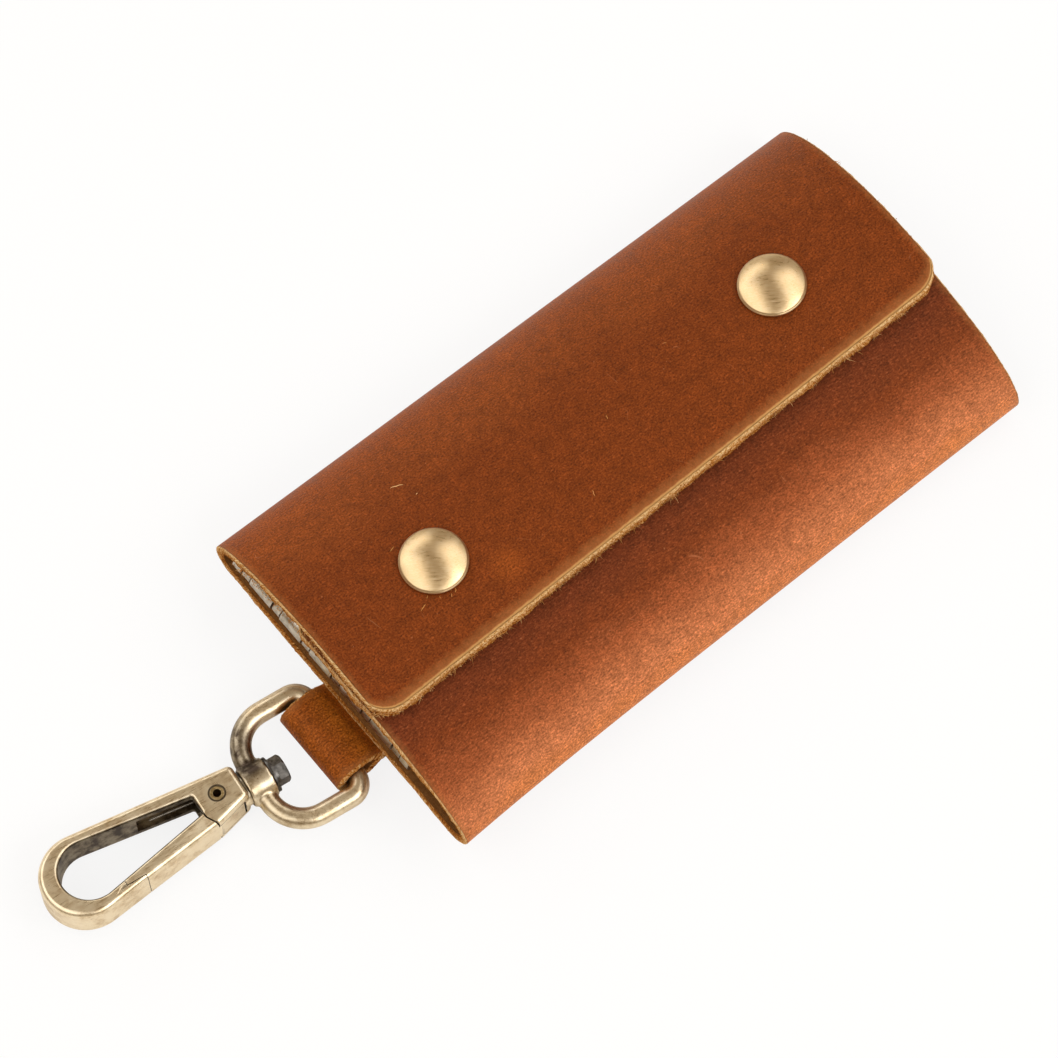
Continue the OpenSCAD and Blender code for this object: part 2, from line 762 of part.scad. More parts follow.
module clasp_ring() {
    arm = ring_end_x - shoulder_r - ring_corner_r;
    end_half = ring_half - shoulder_r;
    color(brass)
        clasp_pose()
            difference() {
                union() {
                    rotate([90, 0, 0])
                        cylinder(d = wire_d, h = 2 * (ring_half - ring_corner_r), center = true);
                    for (side = [0, 1])
                        mirror([0, side, 0]) {
                            translate([ring_corner_r, ring_half - ring_corner_r, 0])
                                rotate([0, 0, 90])
                                    bend(ring_corner_r);
                            translate([ring_corner_r, ring_half, 0])
                                rotate([0, 90, 0])
                                    cylinder(d = wire_d, h = arm);
                            translate([ring_corner_r + arm, ring_half - shoulder_r, 0])
                                bend(shoulder_r);
                        }
                    translate([ring_end_x, 0, 0])
                        rotate([90, 0, 0])
                            cylinder(d = wire_d, h = 2 * end_half, center = true);
                    translate([collar_x, 0, 0])
                        rotate([0, 90, 0])
                            cylinder(d = collar_d, h = collar_l);
                    for (side = [-90, 90])
                        translate([ring_end_x, 0, 0])
                            rotate([side, 0, 0])
                                cylinder(d1 = collar_l, d2 = wire_d * 0.9, h = shoulder_l);
                }
                translate([collar_x - overrun, 0, 0])
                    rotate([0, 90, 0])
                        cylinder(d = bolt_d + 2 * turn_fit, h = collar_l + 2 * overrun);
            }
}

// Swivel bolt and washers on the inner side of the collar
collar_x = ring_end_x - collar_l / 2;
collar_end_x = collar_x + collar_l;
bolt_end_x = pin_x - tang_back - 2 * swing_gap;
washer_d_shares = [0.92, 0.73];
module bolt_washers() {
    color("dimgray")
        hook_pose()
            for (k = [0:1])
                translate([collar_x - turn_fit - (k + 1) * washer_t, 0, 0])
                    rotate([0, 90, 0])
                        difference() {
                            cylinder(d = collar_d * washer_d_shares[k], h = washer_t);
                            translate([0, 0, -overrun])
                                cylinder(d = bolt_d + 2 * turn_fit, h = washer_t + 2 * overrun);
                        }
}

module swivel_bolt() {
    head_x = collar_x - turn_fit - 2 * washer_t;
    color("dimgray")
        hook_pose() {
            translate([head_x, 0, 0])
                rotate([0, 90, 0])
                    cylinder(d = bolt_d, h = bolt_end_x - head_x);
            translate([head_x - bolt_head_h, 0, 0])
                rotate([0, 90, 0])
                    intersection() {
                        cylinder(d = bolt_flats / cos(30), h = bolt_head_h, $fn = 6);
                        cylinder(d1 = bolt_flats, d2 = bolt_flats + 2 * bolt_head_h, h = bolt_head_h);
                    }
        }
}

// Circles joined one to the next by their outer tangents, in counterclockwise
// order, each given by its middle and radius
module round_outline(spots) {
    n = len(spots);
    for (spot = spots)
        translate(spot[0])
            circle(r = spot[1]);
    polygon([for (i = [0:n - 1])
        let (
            a = spots[i],
            b = spots[(i + 1) % n],
            d = b[0] - a[0],
            t = atan2(d[1], d[0]) - acos((a[1] - b[1]) / norm(d)),
            out = meet_share * [cos(t), sin(t)])
        each [a[0] + a[1] * out, b[0] + b[1] * out]]);
}

// Neck between the collar and the head
neck_d = collar_d * 0.8;
neck_x = collar_end_x + swing_gap;

// The head ends square beside the collar, and narrows towards it. The cheek's
// front corner stands out over the gate
head_corner_r = head_r * 0.2;
head_corner_x = neck_x + head_corner_r;
cheek_corner_r = head_r * 0.05;
head_spots = [
    [[pin_x + head_r * 0.48, head_r * 0.89], cheek_corner_r],
    [[head_corner_x, head_r * 0.38], head_corner_r],
    [[head_corner_x, -head_r * 0.72], head_corner_r]];

// The closed loop of hook and gate, before the gate is parted from it
module hook_loop_outline() {
    difference() {
        round_outline(concat([[[nose_x, nose_y], nose_r]], head_spots));
        round_outline([
            [[eye_x, eye_y], eye_r], [[eye_back_x, eye_y_front], eye_back_r],
            [[eye_back_x, eye_y_spine], eye_back_r]]);
    }
}

// Plan of the cheeks, grown by the gap. Their front edge steps back from the
// corner, nearer to the pin, so that the gate clears them as it swings
module cheek_outline(grow) {
    translate([pin_x + grow, pin_y])
        polygon(head_r * [
            [0.1, 2], [-2, 2], [-2, -2], [0.84, -2], [0.84, -0.05], [0.77, 0.62],
            [0.52, 1.06]]);
}

// Plan of the part of the loop that belongs to the gate, grown by the gap
module gate_zone_outline(grow) {
    polygon([
        [pin_x, leg_low_y - grow], [gate_split_x + grow + nose_r * 0.1, leg_low_y - grow],
        [tongue_end_x + grow, leg_low_y - grow], [tongue_end_x + grow, leg_mid_y + grow],
        [gate_split_x + grow, leg_mid_y + grow], [gate_split_x + grow, nose_r * 1.5],
        [pin_x, nose_r * 1.5]]);
}

leg_low_y = pin_y + barrel_r * 0.2;
joint_gap = 0.12;

module hook_frame() {
    color(brass)
        hook_pose()
            difference() {
                union() {
                    translate([0, 0, -hook_t / 2])
                        linear_extrude(hook_t)
                            hook_loop_outline();
                    translate([collar_end_x + turn_fit, 0, 0])
                        rotate([0, 90, 0])
                            cylinder(d = neck_d, h = pin_x - barrel_r - collar_end_x);
                }
                gate_room();
                translate([collar_end_x, 0, 0])
                    rotate([0, 90, 0])
                        cylinder(d = bolt_d + 2 * turn_fit, h = bolt_end_x - collar_end_x + turn_fit);
                translate([pin_x, pin_y, -hook_t])
                    cylinder(d = pin_d + 2 * hole_fit, h = 2 * hook_t);
                spring_pocket();
            }
}

// The gate's space in the hook: all of its leg, and a slot between the cheeks
module gate_room() {
    translate([0, 0, -hook_t])
        linear_extrude(2 * hook_t)
            difference() {
                gate_zone_outline(joint_gap);
                cheek_outline(0);
            }
    translate([0, 0, -slot_t / 2])
        linear_extrude(slot_t)
            translate([pin_x, pin_y]) {
                circle(r = barrel_r + swing_gap);
                translate([-head_r * 0.75, barrel_r * 0.35])
                    square([head_r * 2.4, head_r * 1.4]);
                translate([0, -barrel_r * 0.35])
                    square([head_r * 1.6, barrel_r]);
            }
}

// Pocket along the inner face of the spine for the spring's long leg. It goes
// on from the slot between the cheeks
pocket_depth = gate_wire_d * 0.5;
spine_a = atan((eye_y_spine - eye_back_r - eye_y + eye_r) / (eye_x - eye_back_x));
module spring_pocket() {
    translate([pin_x, pin_y, 0])
        rotate([0, 0, -spine_a * 0.95])
            translate([0, -barrel_r - pocket_depth, -slot_t / 2])
                cube([head_r * 3.1, pocket_depth + barrel_r, slot_t]);
}

module hook_gate() {
    color(brass)
        hook_pose()
            difference() {
                union() {
                    translate([0, 0, -hook_t / 2])
                        linear_extrude(hook_t)
                            difference() {
                                intersection() {
                                    hook_loop_outline();
                                    gate_zone_outline(0);
                                }
                                cheek_outline(swing_gap);
                            }
                    translate([0, 0, -slot_t / 2 + joint_gap])
                        linear_extrude(slot_t - 2 * joint_gap)
                            gate_tang_outline();
                }
                translate([pin_x, pin_y, -hook_t])
                    cylinder(d = pin_d + 2 * turn_fit, h = 2 * hook_t);
                translate([pin_x, pin_y, -gate_wire_d / 2])
                    linear_extrude(slot_t)
                        square(2 * barrel_r + swing_gap * 2, center = true);
            }
}

// The gate's tang: a barrel round the pin, and a web out to the leg
module gate_tang_outline() {
    translate([pin_x, pin_y])
        circle(r = barrel_r);
    intersection() {
        hook_loop_outline();
        union() {
            translate([pin_x - tang_back, pin_y + barrel_r * 0.5])
                square([head_r * 2, head_r * 2]);
            translate([pin_x + barrel_r * 0.7, pin_y + barrel_r * 0.35])
                square([head_r, head_r * 2]);
        }
    }
}

module gate_pin() {
    color(brass)
        hook_pose()
            translate([pin_x, pin_y, -hook_t / 2])
                difference() {
                    cylinder(d = pin_d, h = hook_t);
                    translate([0, 0, -overrun])
                        cylinder(d = pin_bore_d, h = hook_t + 2 * overrun);
                }
}

// Gate spring: three turns round the pin, a long leg in the spine's pocket and
// a short leg against the gate
coil_r = pin_d / 2 + hole_fit * 4 + gate_wire_d / 2;
coil_turns = 3;
coil_sides = 6;
coil_steps = 12;
coil_gap = 0.06;
function coil_point(i) =
    let (a = -90 + 360 * i / coil_steps)
    [coil_r * cos(a), coil_r * sin(a), i / coil_steps * (gate_wire_d + coil_gap)];
coil_points = [for (i = [0:coil_turns * coil_steps]) coil_point(i)];
module gate_spring() {
    leg = head_r * 2.6;
    coil_h = coil_turns * (gate_wire_d + coil_gap);
    color("dimgray")
        hook_pose()
            translate([pin_x, pin_y, 0]) {
                wire(coil_points, gate_wire_d / 2);
                rotate([0, 90, -spine_a * 0.95])
                    translate([0, -coil_r, 0])
                        cylinder(d = gate_wire_d * 0.98, h = leg);
                translate([0, -coil_r, coil_h])
                    rotate([0, 90, 0])
                        cylinder(d = gate_wire_d * 0.98, h = coil_r);
            }
}

// A wire swept along a list of points
module wire(path, r) {
    n = len(path);
    function along(i) = unit(path[min(i + 1, n - 1)] - path[max(i - 1, 0)]);
    rings = [for (i = [0:n - 1])
        let (t = along(i), u = unit(cross(t, [0, 0, 1])), v = cross(t, u))
        for (k = [0:coil_sides - 1])
            path[i] + r * (cos(360 * k / coil_sides) * u + sin(360 * k / coil_sides) * v)];
    sides = [for (i = [0:n - 2]) for (k = [0:coil_sides - 1])
        let (a = i * coil_sides + k, b = i * coil_sides + (k + 1) % coil_sides)
        each [[a, a + coil_sides, b + coil_sides], [a, b + coil_sides, b]]];
    ends = concat(
        [for (k = [1:coil_sides - 2]) [0, k, k + 1]],
        [for (k = [1:coil_sides - 2]) let (m = (n - 1) * coil_sides) [m, m + k + 1, m + k]]);
    polyhedron(rings, concat(sides, ends), convexity = 8);
}

back_panel();
flap();
front_panel();
strap();
strap_rivets();
hook_plate();
plate_rivets();
hook_rod();
key_hook_1();
key_hook_2();
key_hook_3();
key_hook_4();
key_hook_5();
key_hook_6();
snap_cap_1();
snap_cap_2();
snap_socket_1();
snap_socket_2();
snap_spring_1();
snap_spring_2();
snap_stud_1();
snap_stud_2();
stud_backing_1();
stud_backing_2();
clasp_ring();
swivel_bolt();
bolt_washers();
hook_frame();
hook_gate();
gate_pin();
gate_spring();
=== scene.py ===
# %% [markdown]
# # A leather key case, dressed over its CAD frame
# The case is one piece of thick waxed cowhide, folded in three round a row of key
# hooks and held shut by two brass snap caps. A swivel clasp hangs on a leather
# strap at the open end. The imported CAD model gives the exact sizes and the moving
# bodies. This script adds what a plain solid lacks: grain, raw cut edges with loose
# fibres, rounded castings and brushed, aged plating.

# %% Start and load the frame
import json

import bpy
import bmesh
import numpy as np
from math import acos, asin, atan, cos, degrees, exp, hypot, pi, radians, sin, sqrt, tan
from mathutils import Matrix, Vector

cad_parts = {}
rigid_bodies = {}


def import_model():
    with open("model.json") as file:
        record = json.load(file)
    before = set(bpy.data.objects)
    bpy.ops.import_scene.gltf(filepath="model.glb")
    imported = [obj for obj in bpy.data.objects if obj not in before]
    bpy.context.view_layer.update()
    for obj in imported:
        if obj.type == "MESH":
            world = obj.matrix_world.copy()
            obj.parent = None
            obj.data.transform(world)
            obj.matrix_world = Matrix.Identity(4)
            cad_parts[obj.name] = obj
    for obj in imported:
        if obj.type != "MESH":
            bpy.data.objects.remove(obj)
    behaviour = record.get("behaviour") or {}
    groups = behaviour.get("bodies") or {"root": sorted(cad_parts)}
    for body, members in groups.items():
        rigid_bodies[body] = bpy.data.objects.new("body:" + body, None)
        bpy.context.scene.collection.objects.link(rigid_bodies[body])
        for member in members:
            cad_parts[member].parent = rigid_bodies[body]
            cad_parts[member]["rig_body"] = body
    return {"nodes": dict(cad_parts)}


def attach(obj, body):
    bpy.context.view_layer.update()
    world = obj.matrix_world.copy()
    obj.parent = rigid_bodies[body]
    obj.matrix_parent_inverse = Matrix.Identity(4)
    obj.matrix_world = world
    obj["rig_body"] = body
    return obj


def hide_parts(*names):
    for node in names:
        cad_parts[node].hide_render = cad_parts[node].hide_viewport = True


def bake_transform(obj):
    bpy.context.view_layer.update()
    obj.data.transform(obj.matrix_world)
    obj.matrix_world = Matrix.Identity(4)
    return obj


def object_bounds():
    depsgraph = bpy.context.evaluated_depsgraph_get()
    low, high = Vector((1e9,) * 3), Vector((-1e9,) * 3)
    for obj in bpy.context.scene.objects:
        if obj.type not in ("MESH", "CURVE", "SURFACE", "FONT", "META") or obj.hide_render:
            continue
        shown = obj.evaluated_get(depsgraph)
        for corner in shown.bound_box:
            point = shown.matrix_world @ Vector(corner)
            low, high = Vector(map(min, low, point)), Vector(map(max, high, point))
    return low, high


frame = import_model()
cad_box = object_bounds()
print("CAD box, mm:", [round(1000 * (b - a), 1) for a, b in zip(*cad_box)])

# %% [markdown]
# ## Sizes
# The drawing's sizes are repeated here in millimetres, because the leather is built
# again from the same curves, at a finer step. Everything is turned into metres when
# a mesh is made. Of two values, the first is for the open end, where the clasp
# hangs, and the second for the far end.

# %% Sizes of the case, in millimetres
MM = 0.001
CASE_L = 130.0
OPEN_W, FAR_W = 69.0, 67.0
OPEN_H, FAR_H = 16.5, 21.5
LEATHER_T = 2.1
FOLD_R = 4.3
FLAP_REACH = (46.9, 44.2)
FLAP_CORNER_R = 5.5
EDGE_GAP = (0.9, 1.6)  # between the flap's edge and the front panel
SNAP_GAP = 2.4  # between them at the snaps
SNAP_EDGE_GAP = (16.9, 18.2)  # from the flap's edge to the snaps
SNAP_INSET = 25.4
SOCKET_R = 5.2
FRONT_REACH = 49.0
FRONT_CORNER_R = 5.0
STRAP_T, STRAP_W, STRAP_Y, STRAP_TAIL = 1.8, 16.6, 4.18, 25.0
WIRE_R = 1.95
RING_W = 17.8
CLASP_YAW, CLASP_RISE, HOOK_ROLL = (radians(a) for a in (7.5, 1.2, 6.0))

SLOT_R = WIRE_R + 0.1
LOOP_R = SLOT_R + STRAP_T
LOOP_NEAR = LOOP_R - 0.08 * 2 * WIRE_R
BAR_SKEW = RING_W / 2 * sin(CLASP_YAW)
BAR_OUT = LOOP_NEAR + BAR_SKEW
LOOP_FAR = BAR_OUT + BAR_SKEW + 0.1
SPAN = CASE_L + LOOP_NEAR
TILT = asin(LOOP_R / hypot(SPAN, STRAP_T)) + atan(STRAP_T / SPAN)
LIFT = CASE_L * sin(TILT)
CASE_X = cad_box[1][0] / MM - CASE_L * cos(TILT) - FAR_H * sin(TILT)
CLASP_Y = -STRAP_Y - (LOOP_FAR - BAR_OUT + LOOP_R) / 2 * tan(CLASP_YAW)
print(f"tilt {degrees(TILT):.3f} degrees, lift {LIFT:.2f} mm")

# %% Frames of the case, the clasp's ring and the hook
CASE = Matrix.Translation((CASE_X, 0, LIFT)) @ Matrix.Rotation(TILT, 4, "Y")
RING = (
    Matrix.Translation(CASE @ Vector((-BAR_OUT, CLASP_Y, -STRAP_T)))
    @ Matrix.Rotation(pi - CLASP_YAW, 4, "Z")
    @ Matrix.Rotation(-CLASP_RISE, 4, "Y")
)
HOOK = RING @ Matrix.Rotation(HOOK_ROLL, 4, "X")
print("ring's bar is at", [round(c, 2) for c in RING.translation])


def to_world(points, pose):
    """Points in millimetres in one of the frames, as metres in the row frame."""
    p = np.asarray(points, float).reshape(-1, 3)
    m = np.array(pose)
    return (p @ m[:3, :3].T + m[:3, 3]) * MM


# %% [markdown]
# ## Helpers for meshes
# Every new piece goes through the same two steps: a mesh object is made from
# points and faces, and it is then given its material while the CAD solids it stands
# for are hidden. Most pieces are also attached to the body they move with.

# %% Make a mesh object, and dress it
def in_scene(name, data):
    obj = bpy.data.objects.new(name, data)
    bpy.context.scene.collection.objects.link(obj)
    return obj


def mesh_object(name, points, faces, smooth=True):
    mesh = bpy.data.meshes.new(name)
    mesh.from_pydata([tuple(p) for p in points], [], [tuple(f) for f in faces])
    mesh.update()
    if smooth:
        mesh.shade_smooth()
    return in_scene(name, mesh)


def tube_faces(rings, count):
    """Quads between stacked rings of points, and one face over each end."""
    faces = []
    for low in range(0, (rings - 1) * count, count):
        for k in range(count):
            n = (k + 1) % count
            faces.append((low + k, low + n, low + count + n, low + count + k))
    last = (rings - 1) * count
    return faces + [tuple(range(count))[::-1], tuple(range(last, last + count))]


def dress(obj, material, slot, *nodes):
    obj.data.materials.append(material)
    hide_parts(*nodes)
    print(f"{obj.name}: {len(obj.data.polygons)} faces, for {', '.join(nodes)}")


def set_values(obj, name, values):
    """Keeps one number for each point, for the material to read."""
    field = obj.data.attributes.new(name, "FLOAT", "POINT")
    field.data.foreach_set("value", np.asarray(values, np.float32))


def set_skin_map(obj, skin):
    """Keeps each point's place on the skin, in millimetres, as the UV map."""
    mesh = obj.data
    layer = mesh.uv_layers.new(name="skin_mm")
    corner = np.zeros(len(mesh.loops), np.int32)
    mesh.loops.foreach_get("vertex_index", corner)
    layer.data.foreach_set("uv", skin[corner].astype(np.float32).ravel())


print("a tube of 3 rings with 8 points each has", len(tube_faces(3, 8)), "faces")

# %% [markdown]
# ## Helpers for materials
# Colours are written as sRGB hex values, and one function turns them to the linear
# values that the shader needs. Another adds a node to the tree that is open. The rest
# name the nodes that come back often, so that each material reads as a list.

# %% Colour and node helpers
def srgb(code):
    def linear(c):
        return c / 12.92 if c <= 0.04045 else ((c + 0.055) / 1.055) ** 2.4

    return tuple(linear(int(code[i : i + 2], 16) / 255) for i in (1, 3, 5)) + (1.0,)


def add(kind, sockets=None, **settings):
    node = tree.nodes.new(kind)
    for key, value in settings.items():
        setattr(node, key, value)
    for key, value in (sockets or {}).items():
        if isinstance(value, bpy.types.NodeSocket):
            tree.links.new(value, node.inputs[key])
        else:
            node.inputs[key].default_value = value
    return node


def open_tree(owner):
    """Empties the node tree of a material or the world, for the helpers to fill."""
    global tree
    owner.use_nodes = True
    tree = owner.node_tree
    tree.nodes.clear()


def new_material(name):
    material = bpy.data.materials.new(name)
    open_tree(material)
    return material


def finish_material(sockets):
    shader = add("ShaderNodeBsdfPrincipled", sockets)
    add("ShaderNodeOutputMaterial", {"Surface": shader.outputs["BSDF"]})


print("lightest leather tone, linear:", [round(c, 3) for c in srgb("#C98A4B")[:3]])

# %% Patterns, numbers and colours in a node tree
def stored(name, output="Fac"):
    return add("ShaderNodeAttribute", attribute_name=name).outputs[output]


def number(operation, *values):
    sockets = dict(enumerate(values))
    return add("ShaderNodeMath", sockets, operation=operation).outputs[0]


def vector(operation, first, second, output="Vector"):
    node = add("ShaderNodeVectorMath", {0: first, 1: second}, operation=operation)
    return node.outputs[output]


def remap(value, low, high, to_low, to_high):
    values = value, low, high, to_low, to_high
    names = "Value", "From Min", "From Max", "To Min", "To Max"
    return add("ShaderNodeMapRange", dict(zip(names, values))).outputs[0]


def noise(place, scale, detail=2.0, rough=0.5, **more):
    sockets = {"Vector": place, "Scale": scale, "Detail": detail, "Roughness": rough}
    return add("ShaderNodeTexNoise", {**sockets, **more}).outputs["Fac"]


def ramp_of(place, stops):
    node = add("ShaderNodeValToRGB", {"Fac": place})
    elements = node.color_ramp.elements
    while len(elements) < len(stops):
        elements.new(0.5)
    for element, (spot, colour) in zip(elements, stops):
        element.position = spot
        element.color = srgb(colour)
    return node.outputs["Color"]


def relief_of(height, strength, depth):
    sockets = {"Height": height, "Strength": strength, "Distance": depth}
    return add("ShaderNodeBump", sockets).outputs["Normal"]


def blend_number(share, first, second):
    return add("ShaderNodeMix", {0: share, 2: first, 3: second}).outputs[0]


def blend(share, first, second, kind="MIX"):
    sockets = {0: share, 6: first, 7: second}
    return add("ShaderNodeMix", sockets, data_type="RGBA", blend_type=kind).outputs[2]


print("node helpers ready")

# %% [markdown]
# ## Waxed pull-up cowhide
# The hide is tanned through and loaded with wax. Where it is bent or rubbed the wax
# moves away and the colour lightens, from deep red-brown on the flat to orange at
# the folds. On the front panel the tones also hold painted shadow under the flap's
# edge and painted light on the lower fold. The grain shows as fine pores a third of
# a millimetre apart, with short creases between them. Rubs and nail marks show as
# thin pale lines. The cut edge is raw and golden, and the inner side is a pale
# suede. All patterns are measured in millimetres along the skin, through the UV map,
# so they bend with the leather.

# %% Tone, grain and marks of the skin
GRAIN_MM = 0.34  # blotch size; real pores are nearer 0.2 mm, too fine to show here
STREAK_STRETCH, STREAK_TURN = 0.42, radians(-8)
SKIN_DEPTH = 0.0002  # metres, of the relief
SCRATCH_MM = 17.0
CLOUD, MOTTLE, NAP = 0.045, 0.4, 2.6  # noise scales, per millimetre of skin
RUBBED, GLINT, SCRATCH, BAND, CORNER = (
    srgb(code) for code in ("#A8551C", "#D0905E", "#B4714A", "#A3683A", "#D3A062"))


def skin_tone(skin, across, mottle, tones, clouds, rubs):
    """Tone across the skin, with large soft clouds and a few rubbed spots."""
    cloud = noise(skin, CLOUD, 4.0, 0.6)
    shift = remap(cloud, 0.25, 0.75, -clouds, clouds)
    tone = ramp_of(number("ADD", across, shift), tones)
    patch = remap(mottle, 0.3, 0.7, 0.8, 1.2)
    tone = blend(1.0, tone, patch, "MULTIPLY")
    for x, v, r in rubs:  # centre and radius in millimetres on the skin
        away = vector("DISTANCE", skin, (x, v, 0.0), "Value")
        wander = number("MULTIPLY_ADD", mottle, 2.5, away)
        rub = remap(wander, r * 0.3 + 1.2, r + 1.2, 0.34, 0.0)
        tone = blend(rub, tone, RUBBED)
    return tone


def with_grain(skin, tone, grain, streaks, painted_glint):
    """Blotches, streaks drawn out along the case where the hide was bent, and glints:
    painted highlights on the creases.
    """
    blotch = noise(skin, 1.0 / GRAIN_MM, 2.0, 0.55)
    scale = (STREAK_STRETCH / GRAIN_MM, 1.0 / GRAIN_MM, 1.0)
    sockets = {"Vector": skin, "Rotation": (0.0, 0.0, STREAK_TURN), "Scale": scale}
    turned = add("ShaderNodeMapping", sockets).outputs[0]
    streak = noise(turned, 1.0, 3.0, 0.6, Distortion=0.4)
    for fac, low, high, d in (blotch, 0.28, 0.72, grain), (streak, 0.3, 0.7, streaks):
        shade = remap(fac, low, high, 1.0 - d, 1.0 + d)
        tone = blend(1.0, tone, shade, "MULTIPLY")
    # glint: a painted highlight on the crests of the creases
    crease = remap(streak, 0.56, 0.74, 0.0, 1.0)
    broken = remap(blotch, 0.45, 0.7, 0.2, 1.0)
    glint = number("MULTIPLY", number("MULTIPLY", crease, broken), painted_glint)
    return blend(glint, tone, GLINT), blotch, streak


def with_marks(skin, tone):
    """Thin scratches, the middle line of a slow noise in a few places, and specks."""
    path = noise(skin, 1.0 / SCRATCH_MM, 1.5, Distortion=1.2)
    off = number("ABSOLUTE", number("SUBTRACT", path, 0.5))
    line = remap(off, 0.0, 0.0024, 0.55, 0.0)
    some = remap(noise(skin, 0.16), 0.6, 0.67, 0.0, 1.0)
    specks = remap(noise(skin, 1.35, 1.0), 0.76, 0.8, 0.0, 0.5)
    marks = number("MAXIMUM", number("MULTIPLY", line, some), specks)
    return blend(marks, tone, SCRATCH)


def with_rubbed_edge(skin, rim, tone):
    """A rubbed band next to the cut edges, and a pale line at the very corner."""
    ragged = noise(skin, 0.6, 3.0, 0.7)
    ragged = number("MULTIPLY_ADD", ragged, 2.4, -1.2)
    band = remap(number("ADD", rim, ragged), 0.3, 2.5, 0.72, 0.0)
    line = number("MULTIPLY_ADD", ragged, 0.18, rim)
    line = remap(line, 0.28, 0.6, 0.9, 0.0)
    return blend(line, blend(band, tone, BAND), CORNER)


print("streaks in the grain are", round(GRAIN_MM / STREAK_STRETCH, 2), "mm long")

# %% Leather material
def leather_material(name, tones, clouds, grain, streaks, painted_glint, rubs=()):
    """tones: stops of (place, colour) across the skin, from fold to free edge."""
    material = new_material(name)
    skin = add("ShaderNodeUVMap", uv_map="skin_mm").outputs["UV"]
    fields = ("across", "rim_mm", "cut", "flesh", "deep")
    across, rim, cut, flesh, deep = map(stored, fields)
    mottle = noise(skin, MOTTLE, 4.0, 0.6)
    tone = skin_tone(skin, across, mottle, tones, clouds, rubs)
    tone, blotch, streak = with_grain(skin, tone, grain, streaks, painted_glint)
    tone = with_rubbed_edge(skin, rim, with_marks(skin, tone))

    # raw edge and inner suede, whose nap goes through the thickness of the hide
    depth = number("MULTIPLY", deep, LEATHER_T)
    layer = add("ShaderNodeCombineXYZ", {2: depth}).outputs[0]
    nap = noise(vector("ADD", skin, layer), NAP, 5.0, 0.75)
    fray = number("MULTIPLY_ADD", deep, -0.16, number("ADD", nap, 0.06))
    edge = [(0.34, "#753C12"), (0.43, "#B26B2A"), (0.51, "#D2944C"), (0.6, "#F4D29C")]
    suede = ramp_of(nap, [(0.3, "#6E4320"), (0.65, "#98683A")])
    inner = blend(flesh, tone, suede)
    colour = blend(cut, inner, ramp_of(fray, edge))

    # relief: grain on the skin, nap on the raw sides
    fine = noise(skin, 2.2 / GRAIN_MM, 2.0, 0.6)
    relief = number("MULTIPLY", fine, 0.35)
    relief = number("MULTIPLY_ADD", blotch, 0.8, relief)
    relief = number("MULTIPLY_ADD", streak, 0.9, relief)
    raw = number("MAXIMUM", cut, flesh)
    raw_relief = number("MULTIPLY_ADD", nap, 7.0, -2.5)
    height = blend_number(raw, relief, raw_relief)

    waxed = remap(mottle, 0.3, 0.7, 0.4, 0.54)
    finish_material({
        "Base Color": colour,
        "Roughness": blend_number(raw, waxed, 0.9),
        "Specular IOR Level": blend_number(raw, 0.34, 0.1),
        "Specular Tint": srgb("#E8B58C"),
        "Normal": relief_of(height, 0.55, SKIN_DEPTH),
        "IOR": 1.46,
    })
    return material


flap_leather = leather_material(
    "waxed cowhide, flap",
    [(0.0, "#82401A"), (0.18, "#93491B"), (0.36, "#824018"), (0.55, "#743511"),
     (1.0, "#763611")],
    clouds=0.1, grain=0.54, streaks=0.26, painted_glint=0.1, rubs=((35.2, 79.8, 4.2),),
)
# the front's tones are partly pull-up and partly painted light: the dark end is painted
# shadow from the flap's edge, the orange end painted light on the lower fold
front_leather = leather_material(
    "waxed cowhide, front",
    [(0.0, "#B66A33"), (0.1, "#CB7A41"), (0.2, "#C0744A"), (0.32, "#98502C"),
     (0.42, "#773717"), (0.55, "#6A3018")],
    clouds=0.04, grain=0.42, streaks=0.42, painted_glint=0.2,
)
print("leather materials:", flap_leather.name, "/", front_leather.name)

# %% [markdown]
# ## The folded hide
# The real body is one cut sheet. Here it is two meshes that meet under the middle
# of the back, because each may bend across one joint only: one holds the back and
# the flap, the other the front panel. Each is a grid of stations along the case and
# steps across the skin, with a fine rim between the outer and inner skins.

# %% Curves of the closed case
SNAP_X = (SNAP_INSET, CASE_L - SNAP_INSET)
SAG, SAG_REACH = 1.3, 26  # the open end's front has sagged outward, in millimetres
FLAT_STEPS, ARC_STEPS, FLAP_STEPS, SIDE_STEPS, LAP_STEPS = 24, 14, 60, 40, 30
CROWD = 1.4  # brings the steps closer together at the folds


def mix(a, b, s):
    return a + (b - a) * s


def half_w(x):
    return mix(OPEN_W, FAR_W, x / CASE_L) / 2


def crest(x):
    return mix(OPEN_H, FAR_H, x / CASE_L) - FOLD_R


def corner_draw(x, r):
    """How far a rounded corner draws the free edge back."""
    d = min(x, CASE_L - x)
    return 0.0 if d >= r else r - sqrt(max(0.0, r * r - (r - d) ** 2))


def smooth(s):
    s = min(max(s, 0.0), 1.0)
    return s * s * (3 - 2 * s)


def flap_at(x, a, depth):
    """Point of the flap at angle a of its oval, below the skin by the depth."""
    w, h = half_w(x), crest(x)
    n = np.array([h * cos(a), w * sin(a)])
    n /= np.hypot(*n)
    return np.array([w * cos(a), FOLD_R + h * sin(a)]) - depth * n


def flap_edge_y(x):
    return half_w(x) - mix(*FLAP_REACH, x / CASE_L)


def snap_edge_gap(x):
    return mix(*SNAP_EDGE_GAP, (x - SNAP_X[0]) / (SNAP_X[1] - SNAP_X[0]))


def lap_gap(x, y):
    rise = smooth((y - flap_edge_y(x)) / (snap_edge_gap(x) - SOCKET_R))
    return mix(mix(*EDGE_GAP, x / CASE_L), SNAP_GAP, rise)


def lap_at(x, y):
    """Point of the front panel under the flap."""
    return flap_at(x, acos(y / half_w(x)), LEATHER_T + lap_gap(x, y))


